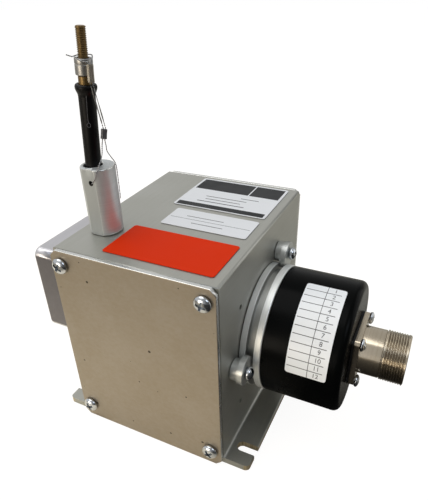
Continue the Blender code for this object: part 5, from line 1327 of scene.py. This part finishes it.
# %% Guide post
GUIDE_TOP, GUIDE_FOOT = TOP + 28.9 * MM, TOP + 0.3 * MM
GUIDE = [(0, 28.9), (7.0, 28.9), (7.0, 0.3), (5.0, 0.3), (5.0, -2.7), (0, -2.7)]
at = Matrix.Translation(GUIDE_CENTRE)
guide = lathe("turned_guide", in_mm(GUIDE, TOP), TURNED_GUIDE, at, 0.45 * MM, 128)
BORE = [(0, 1), (4.3, 1), (4.3, 0), (3.8, -0.5), (3.8, -16.2), (0, -16.2)]
bore = lathe("guide_bore", in_mm(BORE), None, Matrix.Translation((WIRE_X, WIRE_Y, GUIDE_TOP)), 0, 64)
throat = rod("guide_throat", 2.2 * MM, 40 * MM, Matrix.Translation((WIRE_X, WIRE_Y, TOP)))
flat_at = Matrix.Translation((OUTLET_X, WIRE_Y - 10.4 * MM, GUIDE_FOOT + 20 * MM))
flat_cut = plate("guide_flat", [rectangle(16 * MM, 8 * MM, 0)], 40 * MM, None, flat_at)
HOLE_X, HOLE_Z, HOLE_RADIUS = OUTLET_X + 0.8 * MM, GUIDE_TOP - 5.5 * MM, 1.1 * MM
hole_at = Matrix.Translation((HOLE_X, WIRE_Y - 7 * MM, HOLE_Z)) @ ONTO_FRONT
cross = rod("guide_cross_hole", HOLE_RADIUS, 7 * MM, hole_at, 32)
guide = carve(guide, [bore, throat, flat_cut, cross])


def guide_finish(face):
    """Which finish a face has: 0 turned, 1 the rims' painted highlight, 2 the cross hole's painted shade, 3
    the flat.
    """
    x, y, z = face.center
    if face.normal.y < -0.999 and face.area > 5 * MM * MM:
        return 3
    in_hole = math.hypot(x - HOLE_X, z - HOLE_Z) < HOLE_RADIUS + 0.02 * MM
    if in_hole and y < WIRE_Y and abs(face.normal.y) < 0.5:
        return 2
    at_rim = min(abs(z - GUIDE_TOP), abs(z - GUIDE_FOOT)) < 0.6 * MM
    return at_rim and 0.2 < abs(face.normal.z) < 0.97


# The guide's rims get a painted highlight, and its cross hole painted shade.
by_face(guide, (TURNED_GUIDE, CUT_EDGE_AND_HIGHLIGHT, CROSS_HOLE_SHADE, GUIDE_FLAT), guide_finish)
stand_for(guide, "housing", "turned_aluminium", "wire_outlet")

# %% [markdown]
# ## The wire's end
# The drawn wire ends in a brass stud inside a black rubber sleeve, with a dull ring round the stud.
# The three share one axis that leans a little in the guide. They could lean as objects, but their
# place is put into the mesh. The stud's thread is made like the connector's, at 0.7 mm.

# %% Sleeve, stud and ring
LEAN_HEADING, LEAN_ANGLE = math.radians(8), math.radians(4.2)
heading = Vector((math.cos(LEAN_HEADING), math.sin(LEAN_HEADING), 0))
LEAN = Matrix.Translation((WIRE_X, WIRE_Y, TOP + 24.1 * MM))
LEAN = LEAN @ Matrix.Rotation(LEAN_ANGLE, 4, Vector((0, 0, 1)).cross(heading))
SLEEVE = [
    (0, 29.6), (2.85, 29.6), (2.85, 35.9), (3.5, 35.9), (3.95, 35.5), (4.1, 34.9), (4.05, 34.2), (3.75, 33.3),
    (3.35, 32.4), (3.2, 31.6), (3.2, 1.2), (3.12, 0.5), (2.9, 0.0), (0, 0.0),
]
STUD = [
    (0, 55.2), (1.5, 55.2), (1.6, 55.1), (1.6, 42.9), (1.9, 42.7), (1.9, 38.7), (2.55, 38.7), (2.55, 29.9),
    (0, 29.9),
]
RING = [
    (2.2, 44.8), (3.1, 44.8), (3.3, 44.6), (3.3, 42.95), (3.18, 42.85), (3.18, 42.7), (3.3, 42.6),
    (3.3, 39.2), (3.1, 39.0), (2.2, 39.0),
]


def pressed(angle, radius, height):
    """The sleeve isn't quite round: the tying wire presses it in along one side."""
    if radius < 3.0 * MM:
        return 0.0
    return 0.05 * MM * math.cos(2 * angle) + 0.02 * MM * math.sin(height / (1.7 * MM))


sleeve = lathe("rubber_sleeve_skin", in_mm(SLEEVE), RUBBER, LEAN, 0.12 * MM, 96, pressed)
stand_for(sleeve, "wire_end", "black_rubber", "rubber_sleeve")
stud = lathe("stud_core", in_mm(STUD), AGED_BRASS, LEAN, 0.1 * MM, 64)
STUD_PITCH, STUD_THREAD_START, STUD_THREAD_LENGTH = 0.7 * MM, 42.8 * MM, 12.15 * MM
stud_thread = threaded(
    "stud_thread", 1.9 * MM, 1.5 * MM, 0.32 * MM, STUD_PITCH, STUD_THREAD_START, STUD_THREAD_LENGTH,
    AGED_BRASS, LEAN, 64,
)
stand_for(join("brass_stud", [stud, stud_thread], AGED_BRASS), "wire_end", "aged_brass", "threaded_stud")
ring = lathe("dull_ring", in_mm(RING), DULL_STEEL, LEAN, 0.08 * MM, 96)
stand_for(ring, "wire_end", "zinc_plated_steel", "clamp_ring")

# %% [markdown]
# ## The tying wire's route
# A thin twisted pair of steel wires is looped round the stud and drawn down through two pressed
# ferrules. A curve could be drawn by hand, but the route uses the same points as the CAD solid, in
# mm sideways, forward and up from the guide's foot, with a smooth curve through them.

# %% Route
UPPER = ((3.0, 4.7, 67.0), (2.6, 4.7, 61.0))
LOWER = ((4.7, 2.2, 43.3), (4.0, 2.4, 39.7))
TO_KNOT = (
    (4.5, 2.4, 37.0), (4.6, 2.4, 34.7), (5.9, 1.6, 31.8), (7.0, 0.8, 29.5), (7.4, 0.8, 27.0),
    (7.4, 0.8, 20.7), (7.3, 0.8, 13.8),
)
TO_HOLE = (
    (3.0, 2.6, 37.2), (2.6, 3.2, 34.6), (1.9, 4.6, 32.7), (0.5, 6.6, 30.5), (-0.8, 7.3, 28.1),
    (-1.8, 7.2, 25.6), (-3.25, 6.15, 23.5),
)
BEHIND = (
    (4.1, 3.5, 68.6), (4.3, 1.0, 69.4), (3.4, -1.3, 69.5), (1.2, -2.3, 69.5), (-0.9, -1.3, 69.5),
    (-2.1, 0.3, 69.4), (-2.8, 0.8, 69.4), (-4.6, 1.6, 70.2),
)
BEFORE = ((-2.1, 0.3, 69.4), (-1.8, 2.1, 69.3), (-1.2, 3.1, 68.9), (0.0, 4.1, 68.3), (1.3, 4.6, 67.9))
SIDE_HEADING = math.radians(40.7)
SIDE_WAY = Vector((math.cos(SIDE_HEADING), math.sin(SIDE_HEADING), 0))
FRONT_WAY = Vector((math.sin(SIDE_HEADING), -math.cos(SIDE_HEADING), 0))


def beside(*points):
    """Places given in mm sideways, forward and up from the guide's foot."""
    foot = Vector((OUTLET_X, WIRE_Y, TOP))
    return [foot + SIDE_WAY * a * MM + FRONT_WAY * f * MM + Vector((0, 0, up * MM)) for a, f, up in points]


def smooth_route(points, steps):
    """A curve through all the points, with steps places from each one to the next."""
    ends = [2 * points[0] - points[1], *points, 2 * points[-1] - points[-2]]
    route = []
    for a, b, c, d in zip(ends, ends[1:], ends[2:], ends[3:]):
        for t in (step / steps for step in range(steps)):
            part = 2 * b + (c - a) * t + (2 * a - 5 * b + 4 * c - d) * t**2
            route.append((part + (3 * b - a - 3 * c + d) * t**3) / 2)
    return [*route, points[-1]]


print("the knot's end is", round(beside(TO_KNOT[-1])[0].z / MM, 1), "mm up")

# %% [markdown]
# ## Ferrules
# Each ferrule is a short steel tube, pressed flat over both wires. A squashed cylinder would be too
# plain: the pressing tool leaves shallow grooves and a waist, so an oval section with grooves is
# swept along the ferrule and drawn in at the middle.


# %% Ferrules
STRAND_APART, LEAD = 0.45 * MM, 0.6 * MM


def ferrule_places(ends):
    """Where both strands run through a ferrule, its sideways direction and its two ends."""
    top_end, bottom_end = beside(*ends)
    up = (top_end - bottom_end).normalized()
    across = up.cross(SIDE_WAY).normalized().cross(up)
    heights = (top_end + up * LEAD, top_end, bottom_end, bottom_end - up * LEAD)
    both = [[h + across * s for h in heights] for s in (-STRAND_APART, STRAND_APART)]
    return both, across, top_end, bottom_end


def grooved_section(width, thickness, grooves, count=72):
    """A flattened oval with shallow grooves all round, as a pressing tool leaves it."""
    section = []
    for angle in (math.tau * i / count for i in range(count)):
        x, y = (math.copysign(abs(f(angle)) ** 0.7, f(angle)) / 2 for f in (math.cos, math.sin))
        shrink = 1 - 0.05 * (0.5 + 0.5 * math.cos(grooves * angle))
        section.append((x * width * shrink, y * thickness * shrink))
    return section


def waist(t):
    """How wide a ferrule is along its length, from 0 to 1."""
    return 1 - 0.06 * math.sin(math.pi * t) - 0.05 * (t < 0.02 or t > 0.98)


strands = {}
for crimp_node, ends, material in (("crimp_upper", UPPER, CRIMP_GREY), ("crimp_lower", LOWER, CRIMP_DARK)):
    strands[crimp_node], across, top_end, bottom_end = ferrule_places(ends)
    line = [top_end.lerp(bottom_end, i / 12) for i in range(13)]
    section = grooved_section(2.55 * MM, 1.5 * MM, 12)
    ferrule = sweep(crimp_node + "_ferrule", line, section, material, 0.0, {"across": across, "at": waist})
    stand_for(ferrule, "wire_end", "stainless_wire", crimp_node)

# %% [markdown]
# ## The twisted pair
# Two thin wires twisted together look like a string of small beads. Two separate helices would do,
# but a two-lobed section that turns as it is swept gives the same look with half the faces.


# %% Twisted pair
def round_section(count, radius):
    """A closed section; radius gives both half widths for an angle."""
    angles = [math.tau * i / count for i in range(count)]
    return [(radius(a)[0] * math.cos(a), radius(a)[1] * math.sin(a)) for a in angles]


upper_left, upper_right = strands["crimp_upper"]
lower_left, lower_right = strands["crimp_lower"]
ways = {
    "pair_right": beside(*TO_KNOT[::-1]) + lower_right[::-1] + upper_right[::-1] + beside(*BEHIND),
    "pair_left": beside(*BEFORE) + upper_left + lower_left + beside(*TO_HOLE),
}
PAIR_RADIUS, TWIST_LENGTH = 0.24 * MM, 1.4 * MM
pair = round_section(12, lambda a: (1.1 * PAIR_RADIUS, 0.55 * PAIR_RADIUS))
twist = math.tau / TWIST_LENGTH
both = [sweep(name, smooth_route(way, 14), pair, WINDING_STEEL, twist) for name, way in ways.items()]
stand_for(join("tying_wire", both, WINDING_STEEL), "wire_end", "stainless_wire", "lashing_wire")

# %% [markdown]
# ## Loose wire
# One strand of an earlier tying wire still lies on the sleeve and ends in a small ring. Its places
# are given by angle and height on the sleeve, which is simpler than points in space, and it sinks a
# little into the rubber so that it touches.

# %% Loose strand with a ring
ON_SLEEVE, THIN = 3.24 * MM, 0.1 * MM
STRAND = [(-53, 32.4), (-55, 31.7), (-56, 29.5), (-57.5, 27), (-58.5, 25), (-58, 23.4), (-56.5, 22.2)]
RING_TURNS = [math.radians(90 + 360 * i / 24) for i in range(25)]


def on_sleeve(places):
    """Places on the leaning sleeve, from pairs of an angle in degrees and a height in mm."""
    turned = [(math.radians(degrees), height * MM) for degrees, height in places]
    return [LEAN @ Vector((ON_SLEEVE * math.cos(a), ON_SLEEVE * math.sin(a), height)) for a, height in turned]


small_ring = on_sleeve([(-56 + 12 * math.cos(a), 21.4 + 0.8 * math.sin(a)) for a in RING_TURNS])
strand = smooth_route(on_sleeve(STRAND), 6) + small_ring
loose = sweep("loose_strand", strand, round_section(8, lambda a: (THIN, THIN)), CRIMP_DARK, 1.0)
stand_for(loose, "wire_end", "stainless_wire")

# %% [markdown]
# ## Measuring wire
# The measuring wire itself is a rope of thin strands. At rest it hides in the guide and the housing, and when
# the end is drawn it spans up to a metre. A new piece for each length isn't possible, so it is swept straight
# up once, as long as the CAD solid.

# %% Rope
WIRE_RADIUS, ROPE_STEPS, ROPE_TWIST = 0.275 * MM, 120, 5 * MM
low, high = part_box("measuring_wire")


def lobed(angle):
    radius = WIRE_RADIUS * (0.86 + 0.14 * abs(math.cos(3 * angle)))
    return radius, radius


heights = [low.z + (high.z - low.z) * i / ROPE_STEPS for i in range(ROPE_STEPS + 1)]
line = [Vector((WIRE_X, WIRE_Y, z)) for z in heights]
rope = sweep("measuring_rope", line, round_section(36, lobed), WINDING_STEEL, math.tau / ROPE_TWIST)
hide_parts("measuring_wire")
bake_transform(rope)
print("rope from", round(low.z / MM, 1), "to", round(high.z / MM, 1), "mm")

# %% [markdown]
# ## A tree for spirals
# The drum carries seven turns of wire, and the spring is a flat spiral of five turns. The CAD has
# plain solids for both. A screw modifier could draw them, but one tree that carries a small section
# along a spiral makes both from named sizes.

# %% Spiral tree
SPIRAL_SIZES = ("Start Radius", "End Radius", "Turns", "Rise", "Width", "Thickness")
SPIRAL_TREE, given = tree_with("wound spiral", SPIRAL_SIZES, ("Corners", "Steps"))
spiral = {"Resolution": given["Steps"], "Rotations": given["Turns"], "Height": given["Rise"], "Reverse": True}
spiral |= {name: given[name] for name in ("Start Radius", "End Radius")}
spiral = node(SPIRAL_TREE, "GeometryNodeCurveSpiral", spiral)
upright = node(SPIRAL_TREE, "GeometryNodeSetCurveNormal", {0: spiral}, mode="Z_UP")
section = {"Resolution": given["Corners"], "Radius": 0.5}
section = node(SPIRAL_TREE, "GeometryNodeCurvePrimitiveCircle", section)
work_out(SPIRAL_TREE, given, (
    ("eighth", "DIVIDE", math.pi, "Corners"), ("Rotation", "COMBINE", 0.0, 0.0, "eighth"),
    ("Scale", "COMBINE", "Thickness", "Width", 1.0),
))
for change in ("Rotation", "Scale"):
    section = node(SPIRAL_TREE, "GeometryNodeTransform", {"Geometry": section, change: given[change]})
coil = {"Curve": upright, "Profile Curve": section, "Fill Caps": True}
end_tree(SPIRAL_TREE, given, node(SPIRAL_TREE, "GeometryNodeCurveToMesh", coil))

# %% [markdown]
# ## Winding and spring
# The winding lies on the drum, and the spring in its case. They can't be seen through the closed housing, but
# a section through it should show them, so they are drawn as real spirals in the space of the CAD solids. The
# boxes of the drawn spirals are printed.

# %% Winding and spring
# A circle of four corners has flats of 1 / sqrt(2), so the spring's two sizes are multiplied by it.
SQUARE = math.sqrt(2)
# Each by its name, CAD solid, body, slot, sizes and place on the axis.
COILS = (
    ("wound_wire", "wire_winding", "drum", "stainless_wire", {
        "Start Radius": 23.873 * MM, "End Radius": 23.873 * MM, "Turns": 7.0, "Rise": 6.86 * MM,
        "Width": 0.55 * MM, "Thickness": 0.55 * MM, "Corners": 8, "Steps": 72, "Material": WINDING_STEEL,
    }, Matrix.Translation((0, 0, WIRE_X)) @ Matrix.Rotation(math.radians(-90), 4, "Z")),
    ("wound_spring", "power_spring", "housing", "spring_steel", {
        "Start Radius": 17.7 * MM, "End Radius": 37.3 * MM, "Turns": 5.0, "Rise": 0.0, "Corners": 4,
        "Steps": 96, "Width": 18.7 * MM * SQUARE, "Thickness": 0.4 * MM * SQUARE,
        "Material": SPRING_STEEL,
    }, Matrix.Translation((0, 0, -5.815 * MM)) @ Matrix.Diagonal((-1, 1, -1, 1))),
)
for name, cad_node, body_name, slot, sizes, place in COILS:
    coil = outward(grow(seed(name), SPIRAL_TREE, sizes), ENCODER_AXIS @ place)
    stand_for(coil, body_name, slot, cad_node)
    corners = [Vector(c) for c in coil.bound_box]
    print("drawn", [round(f(c[i] for c in corners) / MM, 2) for f in (min, max) for i in range(3)])

# %% [markdown]
# ## The pieces inside
# The drum, bearings, shafts and circuit board are hidden too. Their CAD shapes could be drawn anew,
# but nobody sees them, so they keep their shapes and only get the finish that each really has.

# %% Inner finishes
INNER = {
    INNER_ALUMINIUM: ("cable_drum", "bearing_carrier", "shaft_coupling"),
    GREY_PAINT: ("spring_case_lid",),
    GUIDE_PLASTIC: ("outlet_bush",),
    GLASS: ("code_disc",),
    BOARD: ("encoder_circuit_board",),
    BEARING_STEEL: (
        "drum_shaft", "encoder_shaft", "encoder_bearing_1", "encoder_bearing_2",
        *(f"drum_bearing_{n}_{part}" for n in (1, 2) for part in ("outer_ring", "inner_ring", "ball_cage")),
    ),
}
for material, inner_nodes in INNER.items():
    for inner_node in inner_nodes:
        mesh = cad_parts[inner_node].data
        mesh.materials.clear()
        mesh.materials.append(material)
print("inner nodes:", sum(len(inner_nodes) for inner_nodes in INNER.values()))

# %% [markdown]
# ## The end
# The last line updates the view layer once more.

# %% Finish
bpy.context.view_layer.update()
